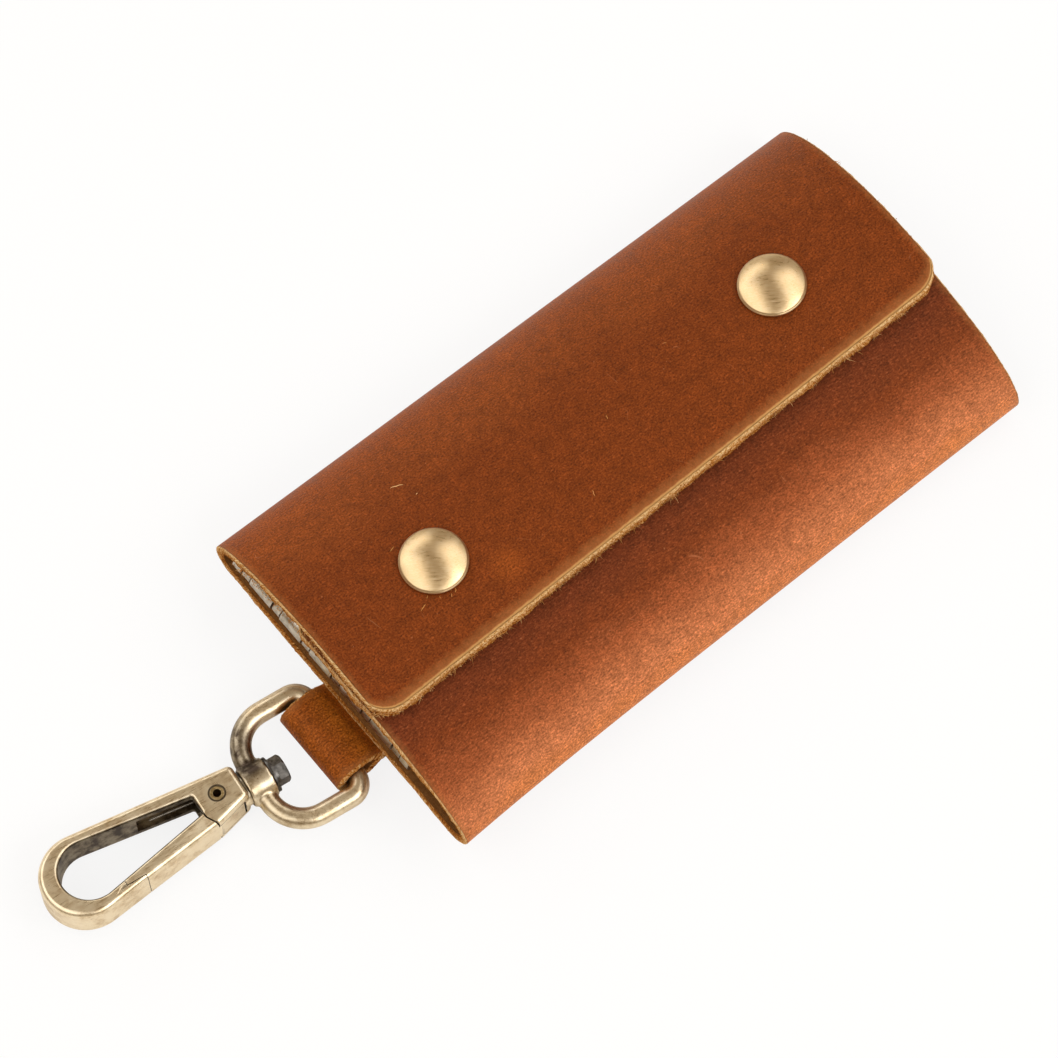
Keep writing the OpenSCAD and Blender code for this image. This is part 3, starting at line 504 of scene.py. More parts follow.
def lower_fold(w, side):
    """From under the middle of the back, round the lower half of one fold."""
    flat = np.linspace(0, w - FOLD_R, FLAT_STEPS, endpoint=False)
    arc = [
        (w - FOLD_R + FOLD_R * sin(a), FOLD_R - FOLD_R * cos(a))
        for a in np.linspace(0, pi / 2, ARC_STEPS, endpoint=False)
    ]
    return [np.array([side * y, z]) for y, z in [(y, 0.0) for y in flat] + arc]


def flap_curve(x, inset):
    w = half_w(x)
    last = acos((flap_edge_y(x) + corner_draw(x, FLAP_CORNER_R) + inset) / w)
    top = [flap_at(x, a, 0) for a in last * np.linspace(0, 1, FLAP_STEPS) ** CROWD]
    return np.array(lower_fold(w, 1) + top)


def front_curve(x, inset):
    w = half_w(x)
    slump = SAG * exp(-x / SAG_REACH)
    meet = lap_at(x, flap_edge_y(x))
    rise = (meet[1] - FOLD_R) / sqrt(1 - (meet[0] / w) ** 2)
    last = acos(-meet[0] / w)
    side = [
        np.array([-(w + slump * cos(a) ** 2) * cos(a), FOLD_R + rise * sin(a)])
        for a in last * np.linspace(0, 1, SIDE_STEPS, endpoint=False) ** CROWD
    ]
    free = -w + FRONT_REACH - corner_draw(x, FRONT_CORNER_R) - inset
    lap = [lap_at(x, y) for y in np.linspace(flap_edge_y(x), free, LAP_STEPS)]
    return np.array(lower_fold(w + slump, -1) + side + lap)


print("height over the open end:", round(flap_curve(0.0, 0)[:, 1].max(), 2), "mm")

# %% Resample a curve evenly, with its outward normals
def along_path(path):
    """How far each point of a path lies along it."""
    step = np.linalg.norm(np.diff(path, axis=0), axis=1)
    return np.concatenate([[0], np.cumsum(step)])


def even_path(path, s, t, passes):
    """The path's points at distances t, with its corners eased in a few passes."""
    p = np.column_stack([np.interp(t, s, path[:, k]) for k in (0, 1)])
    for _ in range(passes):
        p[1:-1] = (p[:-2] + 2 * p[1:-1] + p[2:]) / 4
    d = np.gradient(p, axis=0)
    n = np.column_stack([d[:, 1], -d[:, 0]])
    return p, n / np.hypot(*n.T)[:, None]


def even_curve(points, count, side):
    s = along_path(points)
    t = np.linspace(0, s[-1], count)
    # the lap meets the side at a slight angle, which two passes round off
    p, n = even_path(points, s, t, passes=2)
    return p, side * n, t


def stations(r, rim, count):
    """Stations along the case, closer together at the rounded corners."""
    turn = [max(r * (1 - cos(a)), rim) for a in np.linspace(0, pi / 2, 12)]
    head = [turn[0]] + [x for a, x in zip(turn, turn[1:]) if x > a + 1e-6]
    middle = list(np.linspace(r, CASE_L - r, count)[1:-1])
    return np.array(head + middle + [CASE_L - x for x in head[::-1]])


print("stations along the flap:", len(stations(FLAP_CORNER_R, 0.4, 200)))

# %% [markdown]
# ## The raw rim
# Thick leather is cut with a knife and left unpainted, so the edge shows bare
# fibres. The rim mesh rounds slightly from each skin and is roughened by a seeded
# random push. Loose fibres are added later as thin bent needles.

# %% Profile and roughness of the rim
RIM_R = 0.38
RIM_PUSH = 0.1  # usual push of the rim's points in or out, in millimetres
RIM_GRIT = 0.05  # the same from one point to the next
SWELL = 0.05  # height of the slow waves in the skin


def rough_line(rng, count, reach):
    """Smoothed random numbers round a loop, with a spread of about one."""
    raw = rng.normal(0, 1, count)
    total = sum(np.roll(raw, k) for k in range(-reach, reach + 1))
    return total / sqrt(2 * reach + 1)


def rim_profile():
    """Reach past the skins and depth under the outer one, for each rim line."""
    turns = np.linspace(0, pi / 2, 4)
    profile = [(RIM_R * sin(a), RIM_R * (1 - cos(a))) for a in turns[1:]]
    profile += [(RIM_R, LEATHER_T * f) for f in (0.32, 0.46, 0.6, 0.72)]
    for a in turns[:-1]:
        profile.append((RIM_R * cos(a), LEATHER_T - RIM_R * (1 - sin(a))))
    return profile


RIM = rim_profile()
print(len(RIM), "lines of points across the rim")

# %% Build one folded sheet with a raw rim
def sheet_grid(curve, side, xs, count_v):
    """Outer and inner skins and their map, for each station and step."""
    outer, inner, skin = [], [], []
    for x in xs:
        p, n, t = even_curve(curve(x, RIM_R), count_v, side)
        swell = SWELL * np.sin(x * 0.09 + t * 0.05) * np.clip(t / 30 - 1, 0, 1)
        p = p + n * swell[:, None]
        place = np.full(count_v, x)
        outer.append(np.column_stack([place, p]))
        inner.append(np.column_stack([place, p - LEATHER_T * n]))
        skin.append(np.column_stack([place, side * t]))
    return (np.array(a) for a in (outer, inner, skin))


def folded_sheet(name, curve, side, corner_r, count_x, count_v, splay, seed):
    rng = np.random.default_rng(seed)
    xs = stations(corner_r, RIM_R, count_x)
    outer, inner, skin = sheet_grid(curve, side, xs, count_v)
    at = np.arange(outer[..., 0].size).reshape(outer.shape[:2])
    size = at.size
    quads = np.stack([at[:-1, :-1], at[:-1, 1:], at[1:, 1:], at[1:, :-1]], -1)
    quads = quads.reshape(-1, 4)[:, ::-side]
    faces = [tuple(q) for q in quads] + [tuple(q[::-1] + size) for q in quads]

    # the loop of rim points, without the seam side at column 0
    loop = np.concatenate([at[0, :], at[1:-1, -1], at[-1, ::-1]])
    out_p, in_p = outer.reshape(-1, 3)[loop], inner.reshape(-1, 3)[loop]
    across = out_p - in_p
    away = np.cross(np.gradient(out_p, axis=0), across) * side
    away /= np.linalg.norm(away, axis=1)[:, None]
    lean = mix(*splay, np.clip(np.abs(away[:, :1]), 0, 1))
    wave = rough_line(rng, len(loop), 7) * RIM_PUSH
    points = [outer.reshape(-1, 3), inner.reshape(-1, 3)]
    rings = [loop]
    for k, (reach, depth) in enumerate(RIM):
        low = depth / LEATHER_T
        push = rough_line(rng, len(loop), 2) * RIM_PUSH
        push = (push + rng.normal(0, RIM_GRIT, len(loop)) + wave)[:, None]
        push = push * (reach / RIM_R) * (0.25 + low)
        points.append(out_p - across * low + away * (reach + push + lean * low - 0.04))
        rings.append(2 * size + k * len(loop) + np.arange(len(loop)))
    rings.append(loop + size)
    for a, b in zip(rings, rings[1:]):
        for i in range(len(loop) - 1):
            faces.append((a[i], b[i], b[i + 1], a[i + 1])[::side])
    seam = zip(at[:-1, 0], at[1:, 0], at[1:, 0] + size, at[:-1, 0] + size)
    faces += [q[::side] for q in seam]
    obj = mesh_object(name, to_world(np.concatenate(points), CASE), faces)

    # what the material reads: place across, distance to the rim, kind of surface
    v = np.abs(skin[:, :, 1])
    start, length = half_w(0) - FOLD_R, v[:, -1:]
    end = np.minimum(xs, CASE_L - xs)[:, None]
    for key, grid in (
        ("across", np.clip((v - start) / (length - start), 0, 1)),
        ("rim_mm", np.minimum(length - v, end + 0.9)),
    ):
        flat = grid.reshape(-1)
        rim = np.tile(flat[loop], len(RIM))
        set_values(obj, key, np.concatenate([flat, flat, rim]))
    no, yes, rim = np.zeros(size), np.ones(size), np.ones(len(RIM) * len(loop))
    depths = np.repeat([depth / LEATHER_T for _, depth in RIM], len(loop))
    set_values(obj, "cut", np.concatenate([no, no, rim]))
    set_values(obj, "deep", np.concatenate([no, yes, depths]))
    set_values(obj, "flesh", np.concatenate([no, yes, 0 * rim]))
    flat = skin.reshape(-1, 2)
    rims = [flat[loop] + [0, side * 0.3 * (k + 1)] for k in range(len(RIM))]
    set_skin_map(obj, np.concatenate([flat, flat + [200, 0]] + rims))
    return obj, out_p, in_p, away


FLAP_COLS = 190
flap_piece, flap_rim, flap_rim_in, flap_away = folded_sheet(
    "folded_hide_back_and_flap", flap_curve, 1, FLAP_CORNER_R, 340, FLAP_COLS,
    splay=(0.55, -0.15), seed=3)
front_piece = folded_sheet(
    "folded_hide_front", front_curve, -1, FRONT_CORNER_R, 240, 170,
    splay=(0.2, -0.1), seed=5)[0]
print("hide faces:", len(flap_piece.data.polygons), len(front_piece.data.polygons))

dress(flap_piece, flap_leather, "cognac_leather", "flap", "back_panel")
dress(front_piece, front_leather, "cognac_leather", "front_panel")
for piece, body, side in ((flap_piece, "flap", 1), (front_piece, "front", -1)):
    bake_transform(piece)

# %% [markdown]
# ## Antique brass
# The snap caps, ring and hook are zinc and steel plated with brass, dipped to brown
# and brushed back, so that high faces are pale champagne and hollows stay brown and
# grey. That darkening of the hollows is partly this patina and partly painted shade.
# Fine brush lines run along each piece.

# %% Antique brass material
BRUSH_MM = 0.16  # spacing of the brush lines; real ones are finer
PATCH = 0.35  # scale of the cloudy patches, per millimetre
BRIGHTEST, BRASS_SHADE_AND_PATINA = "#F1E4C8", srgb("#4A3F36")
BRUSH_DEPTH = 0.00004  # metres


def brass_material(
    name, stretch, worn=1.0, bright="#EBDBBC", mid="#C0A67E", hollow_mm=1.6, joint=None
):
    """stretch: how the brush lines lie, as scales along the piece's own X, Y and Z.
    joint: X, Y and radius of the dark line round the pin, in millimetres."""
    material = new_material(name)
    place = stored("own_mm", "Vector")
    lines = add("ShaderNodeMapping", {"Vector": place, "Scale": stretch}).outputs[0]
    brush = noise(lines, 1.0 / BRUSH_MM, 3.0, 0.6)
    patch = noise(place, PATCH, 5.0, 0.65)
    patch = remap(patch, 0.0, 1.0, 0.5 - worn / 2, 0.5 + worn / 2)
    shade = number("MULTIPLY_ADD", brush, 0.3, patch)
    plate = ramp_of(shade, [(0.42, mid), (0.66, bright), (0.85, BRIGHTEST)])
    # occlusion darkens the hollows: partly the brown patina, partly painted shade
    hollow = add("ShaderNodeAmbientOcclusion", {"Distance": hollow_mm * MM}, samples=8)
    cloudy = remap(patch, 0.4, 0.6, 1.0, 0.6)
    # on the hook's eye walls and in its pocket this patina is also painted shade
    old = number("MULTIPLY", stored("patina_and_shade"), cloudy)
    if joint:
        x, y, r = joint
        flat = vector("MULTIPLY", place, (1.0, 1.0, 0.0))
        away = vector("DISTANCE", flat, (x, y, 0.0), "Value")
        off = number("ABSOLUTE", number("SUBTRACT", away, r))
        old = number("MAXIMUM", old, remap(off, 0.08, 0.2, 0.95, 0.0))
    hollow_shade_and_patina = remap(hollow.outputs["AO"], 0.35, 0.85, 1.0, 0.0)
    hollow_shade_and_patina = number("MAXIMUM", hollow_shade_and_patina, old)
    finish_material({
        "Base Color": blend(hollow_shade_and_patina, plate, BRASS_SHADE_AND_PATINA),
        "Metallic": 1.0,
        "Roughness": remap(brush, 0.3, 0.7, 0.26, 0.4),
        "Normal": relief_of(brush, 0.12, BRUSH_DEPTH),
    })
    return material


hook_brass = brass_material(
    "antique brass, brushed lengthwise", (0.08, 1.0, 1.0), joint=(22.9, -0.6, 1.5))
ring_brass = brass_material("antique brass, tumbled", (0.5, 0.5, 1.0))
cap_brass = brass_material(
    "antique brass, brushed cap", (1.0, 0.06, 1.0),
    worn=0.2, bright="#E5C99C", mid="#B8965F", hollow_mm=0.5)
print("brass materials ready")

# %% [markdown]
# ## Finished copies of the metal pieces
# A cast and polished part has no sharp edge. The CAD solids keep theirs, so each
# metal piece is a copy of its solid with the edges eased. Only edges sharper than
# an angle are drawn as edges; the rest shades smoothly.

# %% Copy a CAD solid, and ease its edges
SHARP = radians(32)


def copy_of(name, node):
    obj = in_scene(name, frame["nodes"][node].data.copy())
    obj.data.materials.clear()
    return obj


def apply_modifiers(obj):
    graph = bpy.context.evaluated_depsgraph_get()
    mesh = bpy.data.meshes.new_from_object(obj.evaluated_get(graph))
    obj.modifiers.clear()
    old = obj.data
    obj.data = mesh
    bpy.data.meshes.remove(old)
    mesh.name = obj.name


def shade(obj, angle=SHARP):
    obj.data.shade_smooth()
    obj.data.set_sharp_from_angle(angle=angle)


def even_shading(obj):
    """Lets large flat faces keep their own direction, so only the rounds shade off."""
    weigh = obj.modifiers.new("even shading", "WEIGHTED_NORMAL")
    weigh.keep_sharp = True
    apply_modifiers(obj)


def ease_edges(obj, width):
    """Joins the flat triangles of the solid, then rounds its edges."""
    work = bmesh.new()
    work.from_mesh(obj.data)
    bmesh.ops.remove_doubles(work, verts=work.verts, dist=0.002 * MM)
    bmesh.ops.dissolve_limit(
        work, angle_limit=radians(0.5), verts=work.verts, edges=work.edges)
    work.to_mesh(obj.data)
    work.free()
    bevel = obj.modifiers.new("eased edges", "BEVEL")
    bevel.width = width * MM
    bevel.segments = 2
    bevel.limit_method = "ANGLE"
    bevel.angle_limit = SHARP
    apply_modifiers(obj)


def keep_own_place(obj, pose):
    """Stores each point in the piece's own frame, in millimetres, for its material."""
    co = np.zeros(len(obj.data.vertices) * 3)
    obj.data.vertices.foreach_get("co", co)
    m = np.array(pose.inverted())
    own = (co.reshape(-1, 3) / MM) @ m[:3, :3].T + m[:3, 3]
    field = obj.data.attributes.new("own_mm", "FLOAT_VECTOR", "POINT")
    field.data.foreach_set("vector", own.astype(np.float32).ravel())
    return own


print("edges sharper than", round(degrees(SHARP)), "degrees stay crisp")

# %% [markdown]
# ## The ring
# The ring and its collar are one casting, with soft fillets where the wire swells
# into the collar. A fine even mesh, smoothed a few times, rounds them as tumbling
# in stones does. One side of the collar missed the brush, and the dark dip stays.

# %% Ring with soft fillets
RING_MESH, RING_PASSES = 0.2, 16
COLLAR_X, DARK_REACH = 15.4, 3.6  # the dark part lies round the collar

ring_piece = copy_of("cast_ring", "clasp_ring")
even = ring_piece.modifiers.new("even mesh", "REMESH")
even.mode = "VOXEL"
even.voxel_size = RING_MESH * MM
tumble = ring_piece.modifiers.new("tumbling", "SMOOTH")
tumble.factor = 0.5
tumble.iterations = RING_PASSES
apply_modifiers(ring_piece)
shade(ring_piece, radians(60))
own = keep_own_place(ring_piece, RING)
near = np.clip(1.4 - np.abs(own[:, 0] - COLLAR_X) / DARK_REACH, 0, 1)
near *= np.clip(0.5 - own[:, 1] / 2.4, 0.2, 1)
set_values(ring_piece, "patina_and_shade", near)
print("ring runs", own.min(0).round(1), "to", own.max(0).round(1), "mm")
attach(ring_piece, "ring")
dress(ring_piece, ring_brass, "antique_brass", "clasp_ring")

# %% [markdown]
# ## Hook and gate
# The hook is one flat casting with a generous round along its outer edge and a
# smaller one inside its eye. The gate was cut from the same loop, so both pieces
# are trimmed by the same rounded body, and the joint lines between them stay fine.

# %% Outline of circles joined by tangents, and a body with rounded edges
HEAD_R, PIN_X, NOSE_X, NOSE_R, EYE_R, HOOK_T = 4.8, 22.9, 50.2, 8.0, 5.6, 7.5
HEAD_BACK = 18.1
OUTER_ROUND, EYE_ROUND = 1.15, 0.7
AIR = 0.012  # keeps the trimming body just off the solid's own faces


def tangent_outline(spots, grow, steps=220):
    """The outermost of the given circles in each direction."""
    points = []
    for a in np.linspace(0, 2 * pi, steps, endpoint=False):
        d = np.array([cos(a), sin(a)])
        best = max(spots, key=lambda spot: np.dot(spot[0], d) + spot[1])
        points.append(np.array(best[0]) + (best[1] + grow) * d)
    return np.array(points)


def layered_body(name, spots, layers):
    """Stacks the outline at several heights, each grown by its own amount."""
    points = []
    for z, grow in layers:
        ring = tangent_outline(spots, grow)
        points.append(np.column_stack([ring, np.full(len(ring), z)]))
    faces = tube_faces(len(layers), len(points[0]))
    return mesh_object(name, to_world(np.concatenate(points), HOOK), faces)


def rounding(r, half, sign, steps=9):
    """Heights and growths of a quarter round at both ends of a body."""
    top = [
        (half - r + r * sin(a), sign * (r - r * cos(a)))
        for a in np.linspace(0, pi / 2, steps)
    ]
    return [(-z, g) for z, g in top[::-1]] + top


# centres and radii of the circles, which stand where the drawing has its corners
small, tip = OUTER_ROUND + 0.03, HEAD_R * 0.1
hook_spots = [
    ((NOSE_X, -0.15), NOSE_R),
    ((PIN_X + HEAD_R * 0.48 + 0.18, HEAD_R * 0.89 - (small - 0.24) * 0.98), small),
    ((HEAD_BACK + small, HEAD_R * 0.58 - small), small),
    ((HEAD_BACK + small, -HEAD_R * 0.92 + small), small),
]
eye_spots = [
    ((NOSE_X - (NOSE_R - EYE_R) * 0.58, -0.3), EYE_R),
    ((PIN_X + HEAD_R * 0.94, HEAD_R * 0.17), tip),
    ((PIN_X + HEAD_R * 0.94, -HEAD_R * 0.45), tip),
]
half = HOOK_T / 2 + AIR
outer_body = layered_body("rounded body", hook_spots, rounding(OUTER_ROUND, half, -1))
flare = rounding(EYE_ROUND, half, 1)
flare = [(-half - 1, flare[0][1])] + flare + [(half + 1, flare[-1][1])]
eye_body = layered_body("flared eye", eye_spots, [(z, g - AIR) for z, g in flare])
print("trimming body:", len(outer_body.data.polygons), "faces")

# %% Patina and painted shade on the eye's walls and in the spring's pocket
EYE_PLAN = tangent_outline(eye_spots, 0)
OUTER_PLAN = tangent_outline(hook_spots, 0)
POCKET_Z = HOOK_T / 2 - 1.2  # the pocket for the gate's spring lies within this height


def plan_distance(plan, x, y):
    """How far a point lies from the nearest line of an outline."""
    step = np.roll(plan, -1, axis=0) - plan
    share = ((x, y) - plan) * step
    share = np.clip(share.sum(1) / (step**2).sum(1), 0, 1)[:, None]
    return np.min(np.hypot(*(plan + share * step - (x, y)).T))


def eye_tarnish_and_shade(x, y, z):
    """Patina with painted shade: one on the eye's walls and in the pocket, none on the
    handled faces.
    """
    patina_and_shade = 1.1 - plan_distance(EYE_PLAN, x, y) / 0.4
    if abs(z) < POCKET_Z:
        patina_and_shade = max(patina_and_shade, (plan_distance(OUTER_PLAN, x, y) - 0.8) / 0.3)
    return float(np.clip(patina_and_shade, 0, 1))


print("patina on the eye's wall:", eye_tarnish_and_shade(*EYE_PLAN[0], 0.0))

# %% Trim hook and gate
NECK = [(2.0, -0.4), (2.96, 0.0), (2.96, 1.4), (2.0, 1.4)]  # radii and heights


def lathe(name, profile, pose, steps=96):
    """Turns a profile of radii and heights about the pose's Z axis."""
    turns = [2 * pi * k / steps for k in range(steps)]
    points = [(r * cos(a), r * sin(a), z) for r, z in profile for a in turns]
    return mesh_object(name, to_world(points, pose), tube_faces(len(profile), steps))


def add_neck(obj):
    """The turned collar where the hook meets the ring, which the trimming cut off."""
    pose = HOOK @ Matrix.Translation((HEAD_BACK - 0.25, 0, 0))
    neck = lathe("neck", NECK, pose @ Matrix.Rotation(pi / 2, 4, "Y"))
    work = bmesh.new()
    work.from_mesh(obj.data)
    work.from_mesh(neck.data)
    work.to_mesh(obj.data)
    work.free()
    bpy.data.objects.remove(neck)


def trimmed(name, node, keep_neck):
    obj = copy_of(name, node)
    for tool, operation in ((outer_body, "INTERSECT"), (eye_body, "DIFFERENCE")):
        step = obj.modifiers.new(tool.name, "BOOLEAN")
        step.operation = operation
        step.object = tool
        step.solver = "EXACT"
    apply_modifiers(obj)
    if keep_neck:
        add_neck(obj)
    shade(obj)
    even_shading(obj)
    own = keep_own_place(obj, HOOK)
    set_values(obj, "patina_and_shade", [eye_tarnish_and_shade(*spot) for spot in own])
    return obj


frame_piece = trimmed("cast_hook", "hook_frame", keep_neck=True)
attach(frame_piece, "hook")
dress(frame_piece, hook_brass, "antique_brass", "hook_frame")
gate_piece = trimmed("cast_gate", "hook_gate", keep_neck=False)
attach(gate_piece, "gate")
dress(gate_piece, hook_brass, "antique_brass", "hook_gate")
for tool in (outer_body, eye_body):
    bpy.data.objects.remove(tool)

# %% [markdown]
# ## Snap caps
# Each cap is spun from thin sheet: a low dome whose rim is rolled under. A lathe
# curve gives that shape exactly.

# %% Spin the caps
CAP_R, CAP_RISE, CAP_EDGE = 6.25, 1.9, 0.7
CAP_BRUSH_TURN = radians(50)


def snap_pose(x):
    """A frame on the flap's skin at a snap, with Z along its normal."""
    y = flap_edge_y(x) + snap_edge_gap(x)
    a = acos(y / half_w(x))
    normal = np.array([crest(x) * cos(a), half_w(x) * sin(a)])
    normal /= np.hypot(*normal)
    slope = (FAR_H - OPEN_H) / CASE_L * sin(a)
    spot = flap_at(x, a, 0)
    return (
        CASE
        @ Matrix.Translation((x, spot[0], spot[1]))
        @ Matrix.Rotation(-asin(normal[0]), 4, "X")
        @ Matrix.Rotation(-atan(slope), 4, "Y")
    )


def cap_profile():
    dome_r = (CAP_R**2 + CAP_RISE**2) / (2 * CAP_RISE)
    roll = CAP_EDGE / 2
    rim = [
        (CAP_R - roll + roll * sin(a), roll - roll * cos(a))
        for a in np.linspace(0, pi * 0.86, 12)
    ]
    dome = [
        (r, CAP_EDGE + CAP_RISE - dome_r + sqrt(dome_r**2 - r**2))
        for r in np.linspace(CAP_R - roll * 0.62, 0.05, 26)
    ]
    return [(CAP_R - 0.9, -0.15), (CAP_R - roll, -0.05)] + rim + dome


for k, x in enumerate(SNAP_X, 1):
    pose = snap_pose(x)
    cap = lathe(f"spun_cap_{k}", cap_profile(), pose)
    keep_own_place(cap, pose @ Matrix.Rotation(CAP_BRUSH_TURN, 4, "Z"))
    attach(cap, "flap")
    dress(cap, cap_brass, "antique_brass", f"snap_cap_{k}")

# %% [markdown]
# ## Strap
# The strap is a softer, more orange offcut, folded over the ring's bar and riveted
# under the back. It is built as one strip that follows the fold, with raw sides.

# %% Strap path and strip
STRAP_STEP = 0.35
STRAP_RIM_R = 0.35
SKIN_SIDE, CUT_SIDE, FLESH_SIDE = 0.0, 1.0, 2.0
strap_leather = leather_material(
    "waxed cowhide, strap",
    [(0.0, "#98501A"), (0.4, "#8C4714"), (0.7, "#9A5516"), (1.0, "#74390F")],
    clouds=0.1, grain=0.6, streaks=0.3, painted_glint=0.3,
)


def strap_path():
    """Middle line of the strap in the case's X and Z, from upper to lower end."""
    ply = STRAP_T / 2
    mid_r = SLOT_R + ply

    def bend(x, angles):
        return [(x - mid_r * sin(a), -STRAP_T + mid_r * cos(a)) for a in angles]

    line = [(x, -ply) for x in np.linspace(STRAP_TAIL, 0.2, 30)]
    neck = [(-0.6, -ply + 0.15), (-1.1, -ply + 0.6), (-1.65, -ply + 1.15)]
    near = bend(-LOOP_NEAR, np.linspace(-0.42, 0, 4))
    far = bend(-LOOP_FAR, np.linspace(0, pi / 2, 14))
    upper = line + neck + near + far
    return np.array(upper + [(x, -2 * STRAP_T - z) for x, z in upper[-2::-1]])


def strap_section():
    """Outline of the strap's cut: place across, height, and kind of surface."""
    half, top, r = STRAP_W / 2, STRAP_T / 2, STRAP_RIM_R
    wide = np.linspace(-half + r, half - r, 30)
    corner = [(half - r + r * sin(a), top - r + r * cos(a)) for a in (0.5, 1.0, 1.5)]
    side = corner + [(half, 0.0)] + [(y, -z) for y, z in corner[::-1]]
    section = [(y, top, SKIN_SIDE) for y in wide]
    section += [(y, z, CUT_SIDE) for y, z in side]
    section += [(y, -top, FLESH_SIDE) for y in wide[::-1]]
    section += [(-y, z, CUT_SIDE) for y, z in side[::-1]]
    return np.array(section)


def strap_strip(seed=11):
    rng = np.random.default_rng(seed)
    path = strap_path()
    s = along_path(path)
    t = np.arange(0, s[-1], STRAP_STEP)
    p, n = even_path(path, s, t, passes=6)
    across, height, kind = strap_section().T
    count = len(across)
    points, skin = [], []
    for i in range(len(t)):
        push = rng.normal(0, RIM_GRIT, count) * (kind == CUT_SIDE)
        y = across + np.sign(across) * push
        x, z = (p[i, k] + n[i, k] * height for k in (0, 1))
        points.append(np.column_stack([x, y - STRAP_Y, z]))
        skin.append(np.column_stack([np.full(count, t[i]), y + 100]))
    points, skin = np.concatenate(points), np.concatenate(skin)
    faces = tube_faces(len(t), count)
    obj = mesh_object("folded_strap", to_world(points, CASE), faces)
    rim = STRAP_W / 2 - np.abs(across) + 0.8
    # the tone along the strap is painted light: darker by the case's edge, in its shadow,
    # and lighter in the middle of the loop
    tone = np.clip((points[:, 0] + 9) / 9, 0, 1) * 0.6 + 0.2
    set_values(obj, "across", tone)
    set_values(obj, "rim_mm", np.tile(rim, len(t)))
    set_values(obj, "cut", np.tile(kind == CUT_SIDE, len(t)))
    set_values(obj, "deep", np.full(len(points), 0.5))
    set_values(obj, "flesh", np.tile(kind == FLESH_SIDE, len(t)))
    set_skin_map(obj, skin)
    return obj


strap_piece = strap_strip()
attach(strap_piece, "case_back")
dress(strap_piece, strap_leather, "strap_leather", "strap")

# %% [markdown]
# ## Loose fibres
# A knife leaves short golden fibres standing out of a thick edge, more of them on
# the lower, fleshy half. Each is a thin three-sided needle with one bend. None
# stands on the stretch that bends when the flap opens.

# %% Fibres along the cut edges
STILL_COLS = 100  # the bend lies within this many columns of the seam
NEEDLE_POINTS, NEEDLE_FACES = 7, 6
fibre_material = new_material("raw cowhide fibre")
golden = [(0.0, "#8E5224"), (0.5, "#C98A40"), (1.0, "#EBC284")]
tone = ramp_of(stored("tone"), golden)
finish_material({"Base Color": tone, "Roughness": 0.8, "IOR": 1.5})


def fibre_spots(rng, long, per_mm, share):
    """Places along a stretch of rim, and fibre lengths. Some stand in tufts."""
    spots = [(at, 0.2) for at in rng.uniform(0, long, int(long * per_mm * share))]
    for tuft in rng.uniform(0.5, long - 0.5, int(long * 0.4 * share)):
        size = rng.uniform(0.35, 0.7)
        spots += [(at, size) for at in rng.normal(tuft, 0.16, rng.integers(5, 12))]
    return spots


def fibres(name, out_p, in_p, away, spans, per_mm, splay, seed):
    """Needles along the stretches of rim given by spans, as one mesh."""
    rng = np.random.default_rng(seed)
    points, faces, tones = [], [], []
    for first, last, share in spans:
        s = along_path(out_p[first:last])
        for at, long in fibre_spots(rng, s[-1], per_mm, share):
            i = first + min(max(int(np.searchsorted(s, at)), 0), last - first - 1)
            depth = rng.beta(2.4, 1.1)
            root = out_p[i] * (1 - depth) + in_p[i] * depth
            root = root + away[i] * (0.2 + splay * depth)
            root = root + rng.normal(0, 0.12, 3) * [1, 0.4, 0]
            down = (in_p[i] - out_p[i]) / LEATHER_T
            along = np.cross(away[i], down)
            lean = away[i] * rng.uniform(0.4, 1.0) + down * rng.normal(0.35, 0.4)
            lean += along * rng.normal(0, 0.6)
            lean /= np.linalg.norm(lean)
            size = min(long * rng.lognormal(0.0, 0.35), 1.3)
            bend = rng.normal(0, 0.6, 3) * size
            thick = rng.uniform(0.055, 0.105)
            side = np.cross(lean, along + 0.01)
            side /= np.linalg.norm(side)
            up = np.cross(lean, side)
            base = len(points)
            tones += [rng.uniform(0, 1)] * NEEDLE_POINTS
            for part, width in ((0.0, 1.0), (0.5, 0.8)):
                centre = root + lean * size * part + bend * part**2
                for a in (0.0, 2.1, 4.2):
                    arm = cos(a) * side + sin(a) * up
                    points.append(centre + thick * width * arm)
            points.append(root + lean * size + bend)
            for k in range(3):
                n = (k + 1) % 3
                faces.append((base + k, base + n, base + 3 + n, base + 3 + k))
                faces.append((base + 3 + k, base + 3 + n, base + 6))
    obj = mesh_object(name, to_world(points, CASE), faces)
    set_values(obj, "tone", tones)
    obj.data.materials.append(fibre_material)
    print(f"{name}: {len(faces) // NEEDLE_FACES} fibres")
    return obj


near_corner = FLAP_COLS - 6
far_end = len(flap_rim) - FLAP_COLS
flap_fibres = fibres(
    "flap_edge_fibres", flap_rim, flap_rim_in, flap_away,
    [
        (near_corner, far_end - 12, 1.0),
        (STILL_COLS, near_corner, 0.5),
        (far_end + 6, len(flap_rim) - STILL_COLS, 0.08),
    ],
    per_mm=18, splay=0.55, seed=21)
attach(flap_fibres, "flap")

# %% Short nicks and stray fibres round the first cap
NICK_W = 0.07
NICKS = [  # place along and across the flap, length, direction in degrees, tone
    (21.4, 11.4, 1.0, 11, 0.45), (18.6, -0.7, 1.6, 18, 0.5), (20.4, 0.4, 0.7, 40, 0.3),
    (22.1, -1.0, 0.6, 80, 0.3), (23.9, -2.0, 0.7, 60, 0.35), (25.0, -1.7, 0.8, 50, 0.4),
    (24.3, -1.2, 0.5, 140, 0.25), (29.8, 20.6, 2.4, -23, 0.9),
    (31.4, 17.0, 0.5, 10, 0.8), (55.1, -3.1, 1.3, 73, 0.6), (10.2, 2.7, 3.4, -78, 0.0),
    (66.0, 6.5, 0.8, 70, 0.4), (83.0, 11.0, 0.9, 150, 0.3),
]


